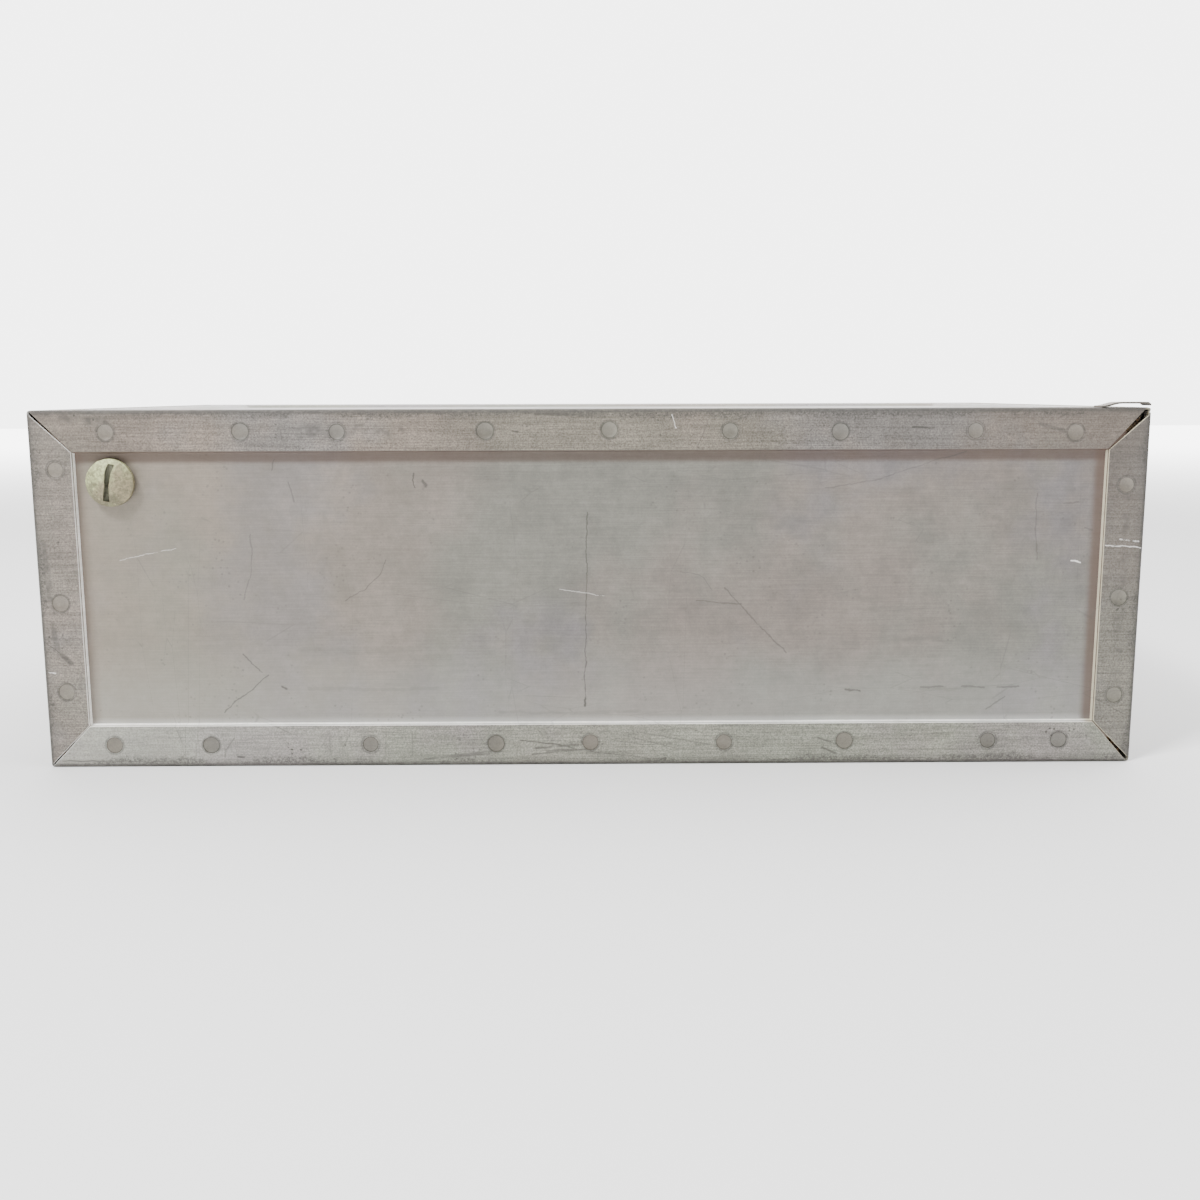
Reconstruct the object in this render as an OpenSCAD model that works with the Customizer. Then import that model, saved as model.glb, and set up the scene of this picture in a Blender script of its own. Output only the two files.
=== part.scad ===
// Insulated milk delivery box. A double-walled case in aluminium sheet, its twelve
// edges covered by mitred and spot-welded corner strips, with a flush lid on a
// continuous hinge, a coin-slotted turn lock in the front and a drop handle at
// each end. Millimetres, +Z up, front towards -Y, origin under the middle of the
// closed box.

/* [Case] */
// Width of the case over its corner strips
body_w = 610; // [580:1:680]
// Depth of the case from front to back
body_d = 330; // [310:1:400]
// Height of the case
body_h = 199; // [190:1:240]
// Thickness of the corner strips and the lid
sheet = 1.2; // [1:0.1:1.5]
// Outside radius of every folded edge
bend_r = 2; // [1.8:0.1:2.6]

/* [Corner strips] */
// Width of the strip leg at the left of the front
rail_left = 24; // [22:0.1:26]
// Width of the strip leg at the right of the front
rail_right = 22.4; // [21:0.1:26]
// Width of the strip leg at the top of the front
rail_top = 22.8; // [21:0.1:26]
// Width of the strip leg at the bottom of the front
rail_bottom = 23.2; // [21:0.1:26]
// Width of every other strip leg
rail_side = 23; // [21:0.1:26]
// Gap in an ordinary mitre
mitre_gap = 0.3; // [0.2:0.1:0.6]
// Height that the sprung end of the top right strip stands up
lap_rise = 3; // [1:0.1:4]

/* [Spot welds] */
// Diameter of a spot weld mark
weld_d = 9.5; // [6:0.1:11]
// Depth of a spot weld mark
weld_depth = 0.35; // [0.1:0.05:0.5]

/* [Panels and walls] */
// Thickness of the panels between the strips
panel_t = 1; // [0.8:0.1:1.2]
// Depth of the dished field below the panel's edge
dish = 2; // [1:0.1:3]
// Run of the bevel round the dished field
dish_run = 0.9; // [0.5:0.1:2]
// Thickness of the front wall up to the liner's inner face
wall_front = 30; // [29:1:40]
// Thickness of the floor up to the liner's inner face
wall_floor = 26; // [20:1:34]
// Thickness of the liner sheet
liner_t = 1; // [0.6:0.1:1.2]

/* [Lid] */
// Height of the lid's edge
lid_edge = 14; // [13:0.5:18]
// Depth of the tray below the lid's edge
tray_drop = 12; // [8:1:14]
// Gap between the lid and the mouth of the case
lid_gap = 1.5; // [1:0.1:2.5]
// Height of the rubber seal under the lid's edge
seal_h = 2.8; // [2:0.1:2.9]

/* [Hinge] */
// Outside radius of a hinge knuckle
knuckle_r = 3; // [2.8:0.1:3.4]
// Radius of the hinge pin
pin_r = 1.25; // [1:0.05:1.4]
// Number of knuckles
knuckles = 27; // [15:2:35]
// Radial clearance of every pin in its hole
pin_fit = 0.05; // [0.02:0.01:0.1]

/* [Lock] */
// Distance of the lock from the left edge of the case
lock_x = 43.2; // [42:0.1:60]
// Height of the lock above the ground
lock_z = 160; // [155:0.5:161]
// Diameter of the slotted head
head_d = 27.4; // [22:0.1:30]
// Height of the slotted head above the front panel
head_h = 8; // [6:0.1:10]
// Lean of the slot from upright, towards the right
slot_lean = 7.5; // [0:0.5:15]
// Reach of the cam from the lock's axis
cam_reach = 20; // [17:0.5:21]

/* [Handles] */
// Distance between the two legs of a handle
handle_span = 110; // [90:1:130]
// Drop of a handle below its pivot
handle_drop = 42; // [36:1:50]
// Radius of the handle rod
handle_r = 4; // [3.5:0.1:4.5]

/* [Hidden] */
recess = sheet + dish;
head_out = head_h - recess;
x_left = -body_w / 2;
y_front = -body_d / 2 + head_out / 2;
$fn = 48;

// Panel edges start past the strips' folds; boards and battens start at inside. Both
// are measured from the case's faces.
flange = bend_r;
inside = recess + panel_t + 0.2;
ledge = 7;
mouth_lo = [rail_left, rail_side];
mouth_hi = [body_w - rail_right, body_d - rail_side];
liner_lo = [rail_left + ledge, wall_front];
liner_hi = [body_w - rail_right - ledge, body_d - rail_side - 2 * ledge];

// Heights of the lid, the ledge that it shuts on and the tray below it
lid_under = body_h - lid_edge;
ledge_z = lid_under - 3;
tray_z = lid_under - tray_drop;

// Plan of the lid and its tray, with room behind for the hinge
hinge_room = 2 * knuckle_r + 1;
lid_lo = mouth_lo + [lid_gap, lid_gap];
lid_hi = mouth_hi - [lid_gap, hinge_room];
tray_lo = liner_lo + [24, 24];
tray_hi = [liner_hi[0] - 24, liner_hi[1] - 9];
axis_y = mouth_hi[1] - hinge_room / 2;
axis_z = body_h - knuckle_r;

// A mitred end is the neighbour's leg width, the gap at the outer edge of the
// mitre and the gap at its inner end
side_end = [rail_side, mitre_gap, mitre_gap];
top_left_end = [rail_left, 1.2, 0.3];
top_right_end = [rail_right, 2.4, 0.6];
bottom_left_end = [rail_left, 0.6, 0.4];
bottom_right_end = [rail_right, 1.8, 0.4];
left_top_end = [rail_top, 1.2, 0.3];
left_bottom_end = [rail_bottom, 0.6, 0.4];
right_top_end = [rail_top, 2.4, 0.6];
right_bottom_end = [rail_bottom, 1.8, 0.4];

// Spot welds: a place along the strip and a distance from the folded edge.
// Those of the front are as uneven as a hand-held welder left them.
front_top_welds = [[41, 11.4], [115, 11.2], [168, 11.5], [248, 11.2], [316, 11.3],
    [382, 11.5], [442, 11.4], [516, 11.3], [571, 11.6]];
front_bottom_welds = [[36.5, 12.2], [91, 12.3], [181, 12.1], [252, 12.2], [306, 12.3],
    [382, 12.1], [450, 12.4], [530, 12.3], [570, 12.2]];
front_left_welds = [[43.5, 11.8], [93.5, 11.8], [167, 14]];
front_right_welds = [[39, 11.2], [94.5, 11.9], [157, 11.5]];
function even_welds(len, count) =
    [for (i = [0 : count - 1]) [len * (i + 0.5) / count + 3 * sin(i * 137), 11.6]];
long_welds = even_welds(body_w, 9);
deep_welds = even_welds(body_d, 5);
tall_welds = even_welds(body_h, 3);

// Moves what is measured from the left front bottom corner of the case to its place
module in_case() translate([x_left, y_front, 0]) children();

// A plain block between two corners
module block(lo, hi) translate(lo) cube(hi - lo);

// Mirrors its children only when asked
module flip(axis, on) {
    if (on) mirror(axis) children();
    else children();
}

// A cylinder along +Y from a point
module rod_y(from, r, len) translate(from) rotate([-90, 0, 0]) cylinder(r = r, h = len);

// A cylinder along +X from a point
module rod_x(from, r, len) translate(from) rotate([0, 90, 0]) cylinder(r = r, h = len);

// A quarter of a ring in the XY plane about the origin, from start degrees on
module rod_bend(start, bend, r) rotate([0, 0, start]) rotate_extrude(angle = 90)
    translate([bend, 0]) circle(r = r);

// Corner strips

function leg_outline(len, w, ends) = [
    [ends[0][0] * bend_r / w + ends[0][1] / 2, bend_r],
    [len - ends[1][0] * bend_r / w - ends[1][1] / 2, bend_r],
    [len - ends[1][0] - ends[1][2] / 2, w],
    [ends[0][0] + ends[0][2] / 2, w]
];

// The fold stops a hair short of the legs' mitred ends
function bend_start(w, end) = max(bend_r, end[0] * bend_r / w) + end[1] / 2 + 0.05;

module weld_mark(depth_axis) {
    ball_r = (weld_d * weld_d / 4 + weld_depth * weld_depth) / (2 * weld_depth);
    translate(depth_axis * (ball_r - weld_depth)) sphere(r = ball_r, $fn = 96);
}

// An angle strip along +X with its folded edge at the origin: one leg hangs down
// the face y = 0, the other runs back over the face z = 0
module strip(len, w_face, face_ends, face_welds, w_top, top_ends, top_welds) {
    bend_lo = max(bend_start(w_face, face_ends[0]), bend_start(w_top, top_ends[0]));
    bend_hi = max(bend_start(w_face, face_ends[1]), bend_start(w_top, top_ends[1]));
    difference() {
        union() {
            rotate([-90, 0, 0]) linear_extrude(sheet)
                polygon(leg_outline(len, w_face, face_ends));
            translate([0, 0, -sheet]) linear_extrude(sheet)
                polygon(leg_outline(len, w_top, top_ends));
            translate([bend_lo, bend_r, -bend_r]) rotate([90, 0, 90])
                linear_extrude(len - bend_lo - bend_hi) intersection() {
                    difference() {
                        circle(r = bend_r);
                        circle(r = bend_r - sheet);
                    }
                    translate([-bend_r, 0]) square(bend_r);
                }
        }
        for (place = face_welds) translate([place[0], 0, -place[1]]) weld_mark([0, -1, 0]);
        for (place = top_welds) translate([place[0], place[1], 0]) weld_mark([0, 0, 1]);
    }
}

// A strip across the front or the back, at the top or the bottom
module strip_across(back, bottom)
    translate([0, back ? body_d : 0, bottom ? 0 : body_h])
        flip([0, 1, 0], back) flip([0, 0, 1], bottom) children();

// A strip from front to back, at the left or the right, at the top or the bottom
module strip_deep(right, bottom)
    translate([right ? body_w : 0, 0, bottom ? 0 : body_h])
        flip([1, 0, 0], right) flip([0, 0, 1], bottom) mirror([1, -1, 0]) children();

// An upright strip at one of the four corners
module strip_upright(right, back)
    translate([right ? body_w : 0, back ? body_d : 0, 0])
        flip([1, 0, 0], right) flip([0, 1, 0], back) rotate([0, -90, 0]) children();

module strip_front_top() color("#9b9894") in_case() difference() {
    strip_across(false, false)
        strip(body_w, rail_top, [top_left_end, top_right_end], front_top_welds,
            rail_side, [top_left_end, [rail_right, mitre_gap, mitre_gap]], []);
    rim_screw_row();
}

module strip_front_bottom() color("#a3a09c") in_case() strip_across(false, true)
    strip(body_w, rail_bottom, [bottom_left_end, bottom_right_end], front_bottom_welds,
        rail_side, [side_end, side_end], long_welds);

module strip_front_left() color("#9b9894") in_case() strip_upright(false, false)
    strip(body_h, rail_left, [left_bottom_end, left_top_end], front_left_welds,
        rail_side, [side_end, side_end], tall_welds);

module strip_front_right() color("#9b9894") in_case() strip_upright(true, false)
    strip(body_h, rail_right, [right_bottom_end, right_top_end], front_right_welds,
        rail_side, [side_end, side_end], tall_welds);

module strip_back_top() color("#9b9894") in_case() difference() {
    strip_across(true, false)
        strip(body_w, rail_side, [side_end, side_end], long_welds,
            rail_side, [[rail_left, mitre_gap, mitre_gap], [rail_right, mitre_gap, mitre_gap]],
            []);
    rim_screw_row();
}

module strip_back_bottom() color("#9b9894") in_case() strip_across(true, true)
    strip(body_w, rail_side, [side_end, side_end], long_welds,
        rail_side, [side_end, side_end], long_welds);

module strip_back_left() color("#9b9894") in_case() strip_upright(false, true)
    strip(body_h, rail_side, [side_end, side_end], tall_welds,
        rail_side, [side_end, side_end], tall_welds);

module strip_back_right() color("#9b9894") in_case() strip_upright(true, true)
    strip(body_h, rail_side, [side_end, side_end], tall_welds,
        rail_side, [side_end, side_end], tall_welds);

module strip_left_top() color("#9b9894") in_case() difference() {
    strip_deep(false, false)
        strip(body_d, rail_side, [side_end, side_end], deep_welds,
            rail_left, [[rail_side, mitre_gap, mitre_gap], [rail_side, mitre_gap, mitre_gap]],
            []);
    rim_screw_row();
}

// The front end of this strip has sprung up: its tongue rises towards the front
module strip_right_top() color("#9b9894") in_case() union() {
    difference() {
        strip_deep(true, false)
            strip(body_d, rail_side, [side_end, side_end], deep_welds, rail_right,
                [[rail_side, mitre_gap, mitre_gap], [rail_side, mitre_gap, mitre_gap]], []);
        rim_screw_row();
    }
    translate([body_w - rail_right + 1.6, 0, body_h]) rotate([90, 0, 90])
        linear_extrude(rail_right - 2)
            polygon([[58, 0], [58, 0.3], [0.8, lap_rise], [0.8, lap_rise - 0.9], [46, 0]]);
}

module strip_left_bottom() color("#9b9894") in_case() strip_deep(false, true)
    strip(body_d, rail_side, [side_end, side_end], deep_welds,
        rail_side, [side_end, side_end], deep_welds);

module strip_right_bottom() color("#9b9894") in_case() strip_deep(true, true)
    strip(body_d, rail_side, [side_end, side_end], deep_welds,
        rail_side, [side_end, side_end], deep_welds);

// Dished panels between the strips

// A truncated wedge block over the XZ plane, narrowing by run on every side as y
// goes from y0 to y1
module bevel_block(lo, hi, y0, y1, run) intersection() {
    translate([0, 0, lo[1]]) linear_extrude(hi[1] - lo[1])
        polygon([[lo[0], y0], [hi[0], y0], [hi[0] - run, y1], [lo[0] + run, y1]]);
    translate([lo[0], 0, 0]) rotate([90, 0, 90]) linear_extrude(hi[0] - lo[0])
        polygon([[y0, lo[1]], [y0, hi[1]], [y1, hi[1] - run], [y1, lo[1] + run]]);
}

// A panel facing -Y. It fills the XZ rectangle from lo to hi at depth y, and its
// field starts at f_lo and f_hi. Its corners are notched behind the mitres.
module dished_panel(lo, hi, y, f_lo, f_hi) translate([0, y, 0]) difference() {
    notch = 13;
    union() {
        block([lo[0], 0, lo[1]], [hi[0], panel_t, hi[1]]);
        bevel_block(f_lo - [panel_t, panel_t] * 0.8, f_hi + [panel_t, panel_t] * 0.8, 0,
            dish + panel_t, dish_run);
    }
    bevel_block(f_lo, f_hi, -0.001, dish, dish_run);
    for (x = [lo[0], hi[0]], z = [lo[1], hi[1]])
        block([x - notch, -1, z - notch], [x + notch, panel_t + 1, z + notch]);
}

module panel_front() color("#aaa6a2") in_case() difference() {
    dished_panel([flange, flange], [body_w - flange, body_h - flange], sheet,
        [rail_left + 0.4, rail_bottom + 0.4], [body_w - rail_right - 0.4, body_h - rail_top - 0.4]);
    lock_bore();
}

module panel_back() color("#aaa6a2") in_case() translate([0, body_d, 0]) mirror([0, 1, 0])
    dished_panel([flange, flange], [body_w - flange, body_h - flange], sheet,
        [rail_side + 0.4, rail_side + 0.4],
        [body_w - rail_side - 0.4, body_h - rail_side - 0.4]);

// The side panels stand between the front and back panels
module side_panel() mirror([1, -1, 0])
    dished_panel([flange + panel_t, flange], [body_d - flange - panel_t, body_h - flange],
        sheet, [rail_side + 0.4, rail_side + 0.4],
        [body_d - rail_side - 0.4, body_h - rail_side - 0.4]);

module panel_left() color("#aaa6a2") in_case() difference() {
    side_panel();
    handle_rivet_holes();
}

module panel_right() color("#aaa6a2") in_case() difference() {
    translate([body_w, 0, 0]) mirror([1, 0, 0]) side_panel();
    translate([body_w, 0, 0]) mirror([1, 0, 0]) handle_rivet_holes();
}

// The bottom panel lies inside the lower edges of the other four
module panel_bottom() color("#8f8c88") in_case() {
    edge = flange + panel_t;
    mirror([0, 1, -1]) dished_panel([edge, edge], [body_w - edge, body_d - edge], sheet,
        [rail_side + 0.4, rail_side + 0.4],
        [body_w - rail_side - 0.4, body_d - rail_side - 0.4]);
}

// Insulation boards, the rim's battens and the liner

insulation_top = ledge_z - liner_t;
board_floor = wall_floor - liner_t;

module insulation_front() color("#6b4a2c") in_case() difference() {
    block([inside, inside, board_floor], [body_w - inside, liner_lo[1] - liner_t, insulation_top]);
    lock_bore();
}

module insulation_back() color("#6b4a2c") in_case()
    block([inside, liner_hi[1] + liner_t, board_floor],
        [body_w - inside, body_d - inside, insulation_top]);

module insulation_left() color("#6b4a2c") in_case()
    block([inside, liner_lo[1] - liner_t, board_floor],
        [liner_lo[0] - liner_t, liner_hi[1] + liner_t, insulation_top]);

module insulation_right() color("#6b4a2c") in_case()
    block([liner_hi[0] + liner_t, liner_lo[1] - liner_t, board_floor],
        [body_w - inside, liner_hi[1] + liner_t, insulation_top]);

module insulation_floor() color("#6b4a2c") in_case()
    block([inside, inside, inside], [body_w - inside, body_d - inside, board_floor]);

module batten_front() color("#a9875a") in_case() difference() {
    block([inside, inside, ledge_z], [body_w - inside, mouth_lo[1], body_h - sheet]);
    rim_screw_row();
}

module batten_back() color("#a9875a") in_case() difference() {
    block([inside, mouth_hi[1], ledge_z], [body_w - inside, body_d - inside, body_h - sheet]);
    rim_screw_row();
    hinge_screw_row_case();
}

module batten_left() color("#a9875a") in_case() difference() {
    block([inside, mouth_lo[1], ledge_z], [mouth_lo[0], mouth_hi[1], body_h - sheet]);
    rim_screw_row();
}

module batten_right() color("#a9875a") in_case() difference() {
    block([mouth_hi[0], mouth_lo[1], ledge_z], [body_w - inside, mouth_hi[1], body_h - sheet]);
    rim_screw_row();
}

module liner_floor() color("#b9bbb8") in_case()
    block([liner_lo[0] - liner_t, liner_lo[1] - liner_t, board_floor],
        [liner_hi[0] + liner_t, liner_hi[1] + liner_t, wall_floor]);

// A flange of the liner runs out under the battens and is mitred at its ends
flange_lo = [inside, inside];
flange_hi = [body_w - inside, body_d - inside];

module liner_flange(outer_a, outer_b, inner_b, inner_a)
    translate([0, 0, ledge_z - liner_t]) linear_extrude(liner_t)
        polygon([outer_a, outer_b, inner_b, inner_a]);

module liner_front() color("#b9bbb8") in_case() difference() {
    union() {
        block([liner_lo[0], liner_lo[1] - liner_t, wall_floor],
            [liner_hi[0], liner_lo[1], ledge_z]);
        liner_flange(flange_lo, [flange_hi[0], flange_lo[1]], [liner_hi[0], liner_lo[1]], liner_lo);
    }
    lock_bore();
}

module liner_back() color("#b9bbb8") in_case() {
    block([liner_lo[0], liner_hi[1], wall_floor], [liner_hi[0], liner_hi[1] + liner_t, ledge_z]);
    liner_flange([flange_lo[0], flange_hi[1]], flange_hi, liner_hi, [liner_lo[0], liner_hi[1]]);
}

module liner_left() color("#b9bbb8") in_case() {
    block([liner_lo[0] - liner_t, liner_lo[1], wall_floor],
        [liner_lo[0], liner_hi[1], ledge_z]);
    liner_flange(flange_lo, [flange_lo[0], flange_hi[1]], [liner_lo[0], liner_hi[1]], liner_lo);
}

module liner_right() color("#b9bbb8") in_case() {
    block([liner_hi[0], liner_lo[1], wall_floor],
        [liner_hi[0] + liner_t, liner_hi[1], ledge_z]);
    liner_flange([flange_hi[0], flange_lo[1]], flange_hi, liner_hi, [liner_hi[0], liner_lo[1]]);
}

// Countersunk screws that hold the top legs of the strips to the battens

screw_head_r = 3.2;
screw_shank_r = 1.5;
screw_len = 12;
rim_screw_spots = concat(
    [for (i = [0 : 4]) [body_w * (i + 0.5) / 5, rail_side / 2]],
    [for (i = [0 : 4]) [body_w * (i + 0.5) / 5, body_d - rail_side / 2]],
    [for (i = [0 : 2]) [rail_left / 2, body_d * (i + 1) / 4]],
    [for (i = [0 : 2]) [body_w - rail_right / 2, body_d * (i + 1) / 4]]);

// A countersunk screw pointing down from the origin, its head flush
module countersunk(head_r, shank_r, len) {
    translate([0, 0, shank_r - head_r]) cylinder(r1 = shank_r, r2 = head_r, h = head_r - shank_r);
    translate([0, 0, -len]) cylinder(r = shank_r, h = len + shank_r - head_r);
}

module screw_slot(head_r) translate([-head_r - 1, -0.4, -0.6]) cube([2 * head_r + 2, 0.8, 1]);

module rim_screw_row() for (spot = rim_screw_spots)
    translate([spot[0], spot[1], body_h]) countersunk(screw_head_r, screw_shank_r, screw_len);

module rim_screws() color("#8a8882") in_case() difference() {
    rim_screw_row();
    for (i = [0 : len(rim_screw_spots) - 1])
        translate([rim_screw_spots[i][0], rim_screw_spots[i][1], body_h])
            rotate([0, 0, 61 * i]) screw_slot(screw_head_r);
}

// Continuous hinge: its knuckles fill the gap behind the lid, their tops flush

leaf_t = 1.2;
leaf_low = lid_under + 1;
knuckle_step = (lid_hi[0] - lid_lo[0]) / knuckles;
knuckle_gap = 0.4;

// Every second knuckle from the first, each joined to its leaf's plate
module knuckle_set(first, strip_lo, strip_hi) difference() {
    for (i = [first : 2 : knuckles - 1]) {
        x = lid_lo[0] + i * knuckle_step + knuckle_gap / 2;
        rod_x([x, axis_y, axis_z], knuckle_r, knuckle_step - knuckle_gap);
        block([x, strip_lo, axis_z - knuckle_r - 0.3],
            [x + knuckle_step - knuckle_gap, strip_hi, axis_z]);
    }
    rod_x([lid_lo[0] - 1, axis_y, axis_z], pin_r + pin_fit, lid_hi[0] - lid_lo[0] + 2);
}

module hinge_leaf_case() color("#86837d") in_case() difference() {
    union() {
        knuckle_set(0, mouth_hi[1] - leaf_t, mouth_hi[1]);
        block([lid_lo[0], mouth_hi[1] - leaf_t, leaf_low],
            [lid_hi[0], mouth_hi[1], axis_z - knuckle_r - 0.3]);
    }
    hinge_screw_row_case();
}

module hinge_leaf_lid() color("#86837d") in_case() difference() {
    union() {
        knuckle_set(1, lid_hi[1], lid_hi[1] + leaf_t);
        block([lid_lo[0], lid_hi[1], leaf_low],
            [lid_hi[0], lid_hi[1] + leaf_t, axis_z - knuckle_r - 0.3]);
    }
    hinge_screw_row_lid();
}

module hinge_pin() color("#77746e") in_case()
    rod_x([lid_lo[0], axis_y, axis_z], pin_r, lid_hi[0] - lid_lo[0]);

// Hinge screws: six to each leaf, in the middle of the plate's height
hinge_screw_z = (leaf_low + axis_z - knuckle_r - 0.3) / 2;
hinge_screw_x = [for (i = [0 : 5]) lid_lo[0] + knuckle_step * knuckles * (i + 0.5) / 6];
hinge_head_r = 2.3;
hinge_shank_r = 1.2;

module hinge_screw_row_case() for (x = hinge_screw_x)
    translate([x, mouth_hi[1] - leaf_t, hinge_screw_z]) rotate([90, 0, 0])
        countersunk(hinge_head_r, hinge_shank_r, 11);

module hinge_screw_row_lid() for (x = hinge_screw_x)
    translate([x, lid_hi[1] + leaf_t, hinge_screw_z]) rotate([-90, 0, 0])
        countersunk(hinge_head_r, hinge_shank_r, 11);

module hinge_screws_case() color("#8a8882") in_case() difference() {
    hinge_screw_row_case();
    for (x = hinge_screw_x) translate([x, mouth_hi[1] - leaf_t, hinge_screw_z])
        rotate([90, 0, 0]) screw_slot(hinge_head_r);
}

module hinge_screws_lid() color("#8a8882") in_case() difference() {
    hinge_screw_row_lid();
    for (x = hinge_screw_x) translate([x, lid_hi[1] + leaf_t, hinge_screw_z])
        rotate([-90, 0, 0]) screw_slot(hinge_head_r);
}

// Lid: a dished pan over a wooden frame and insulation, closed below by a tray

lid_border = 20;
lid_run = 3;
frame_lo = lid_lo + [sheet + 0.1, sheet + 0.1];
frame_hi = lid_hi - [sheet + 0.1, sheet + 0.1];
frame_top = body_h - dish - sheet - 0.1;
tray_t = 1;

module lid_pan() color("#a3a09b") in_case() difference() {
    union() {
        difference() {
            block([lid_lo[0], lid_lo[1], lid_under], [lid_hi[0], lid_hi[1], body_h]);
            block([lid_lo[0] + sheet, lid_lo[1] + sheet, lid_under - 1],
                [lid_hi[0] - sheet, lid_hi[1] - sheet, body_h - sheet]);
        }
        lid_dish(sheet, lid_border - sheet);
    }
    lid_dish(0, lid_border);
    cup_room();
    pull_screw_set();
    hinge_screw_row_lid();
}

// The lid's dished field as a solid that reaches extra below the field's surface
module lid_dish(extra, border) translate([0, 0, body_h]) mirror([0, 0, 1]) mirror([0, 1, -1])
    bevel_block(lid_lo + [border, border], lid_hi - [border, border], -0.001 + extra / 2,
        dish + extra, lid_run);

module lid_tray() color("#b9bbb8") in_case() difference() {
    union() {
        block([frame_lo[0], frame_lo[1], lid_under], [frame_hi[0], frame_hi[1], lid_under + tray_t]);
        block([tray_lo[0], tray_lo[1], tray_z], [tray_hi[0], tray_hi[1], lid_under]);
    }
    block([tray_lo[0] + tray_t, tray_lo[1] + tray_t, tray_z + tray_t],
        [tray_hi[0] - tray_t, tray_hi[1] - tray_t, lid_under + tray_t + 1]);
    keeper_screw_pair();
}

module lid_frame() color("#a9875a") in_case() difference() {
    block([frame_lo[0], frame_lo[1], lid_under + tray_t], [frame_hi[0], frame_hi[1], frame_top]);
    block([tray_lo[0], tray_lo[1], lid_under], [tray_hi[0], tray_hi[1], body_h]);
    keeper_screw_pair();
    hinge_screw_row_lid();
}

module lid_insulation() color("#6b4a2c") in_case() difference() {
    block([tray_lo[0] + tray_t, tray_lo[1] + tray_t, tray_z + tray_t],
        [tray_hi[0] - tray_t, tray_hi[1] - tray_t, frame_top]);
    cup_room();
    pull_screw_set();
}

// The seal lies under the lid's edge, above the ledge
module lid_seal() color("#3a3836") in_case() difference() {
    block([lid_lo[0] + 0.8, lid_lo[1] + 0.8, lid_under - seal_h],
        [lid_hi[0] - 0.8, lid_hi[1] - 0.8, lid_under]);
    block([liner_lo[0] - 0.6, liner_lo[1] - 0.6, lid_under - seal_h - 1],
        [liner_hi[0] + 0.6, liner_hi[1] + 0.6, lid_under + 1]);
}

// Keeper: hangs from the lid's edge and ends in a foot that the cam turns above

keeper_t = 1.5;
keeper_y = wall_front + 7;
keeper_wide = 5;
keeper_foot = 11;
cam_half = 3;
keeper_leg_x = lock_x + cam_reach + 2;
keeper_foot_z = lock_z - cam_half - 0.5;

module keeper() color("#86837d") in_case() difference() {
    union() {
        block([keeper_leg_x, wall_front + 3, lid_under - keeper_t],
            [keeper_leg_x + 24, tray_lo[1] - 3, lid_under]);
        block([keeper_leg_x, keeper_y, keeper_foot_z - keeper_t],
            [keeper_leg_x + keeper_t, keeper_y + keeper_wide, lid_under]);
        block([keeper_leg_x - keeper_foot, keeper_y, keeper_foot_z - keeper_t],
            [keeper_leg_x, keeper_y + keeper_wide, keeper_foot_z]);
    }
    keeper_screw_pair();
}

keeper_screw_spots = [[keeper_leg_x + 13, wall_front + 8], [keeper_leg_x + 13, tray_lo[1] - 8]];

module keeper_screw_pair() for (spot = keeper_screw_spots)
    translate([spot[0], spot[1], lid_under - keeper_t]) mirror([0, 0, 1])
        countersunk(2.6, 1.3, 9);

module keeper_screws() color("#8a8882") in_case() difference() {
    keeper_screw_pair();
    for (spot = keeper_screw_spots) translate([spot[0], spot[1], lid_under - keeper_t])
        mirror([0, 0, 1]) screw_slot(2.6);
}

// Flush pull: a cup let into the lid with a bail that folds down into it

cup_size = [72, 36, 10];
cup_lo = [body_w / 2 - cup_size[0] / 2, tray_lo[1] + 12];
cup_t = 1.2;
cup_plate = 8;
field_z = body_h - dish;
cup_ear = 3;
bail_r = 2.5;
bail_pin_r = 1.8;
bail_y = cup_lo[1] + cup_size[1] - 6.5;
bail_z = field_z - 3.6;
bail_half = cup_size[0] / 2 - cup_t - cup_ear - bail_r - 0.5;
bail_reach = 22;
bail_bend = 6;

// Room for the cup in the lid's pan and insulation
module cup_room() block([cup_lo[0] - 0.1, cup_lo[1] - 0.1, field_z - cup_size[2] - 0.1],
    [cup_lo[0] + cup_size[0] + 0.1, cup_lo[1] + cup_size[1] + 0.1, body_h + 1]);

module pull_cup() color("#8f8c86") in_case() difference() {
    union() {
        block([cup_lo[0], cup_lo[1], field_z - cup_size[2]],
            [cup_lo[0] + cup_size[0], cup_lo[1] + cup_size[1], field_z + 0.1]);
        block([cup_lo[0] - cup_plate, cup_lo[1] - cup_plate, field_z],
            [cup_lo[0] + cup_size[0] + cup_plate, cup_lo[1] + cup_size[1] + cup_plate,
                field_z + 1.5]);
    }
    difference() {
        block([cup_lo[0] + cup_t, cup_lo[1] + cup_t, field_z - cup_size[2] + cup_t],
            [cup_lo[0] + cup_size[0] - cup_t, cup_lo[1] + cup_size[1] - cup_t, body_h]);
        for (x = [cup_lo[0], cup_lo[0] + cup_size[0] - cup_t - cup_ear])
            block([x, bail_y - 4, field_z - cup_size[2]],
                [x + cup_t + cup_ear, cup_lo[1] + cup_size[1], field_z]);
    }
    rod_x([cup_lo[0] + 1.5, bail_y, bail_z], bail_pin_r + pin_fit, cup_size[0] - 3);
    pull_screw_set();
}

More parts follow.
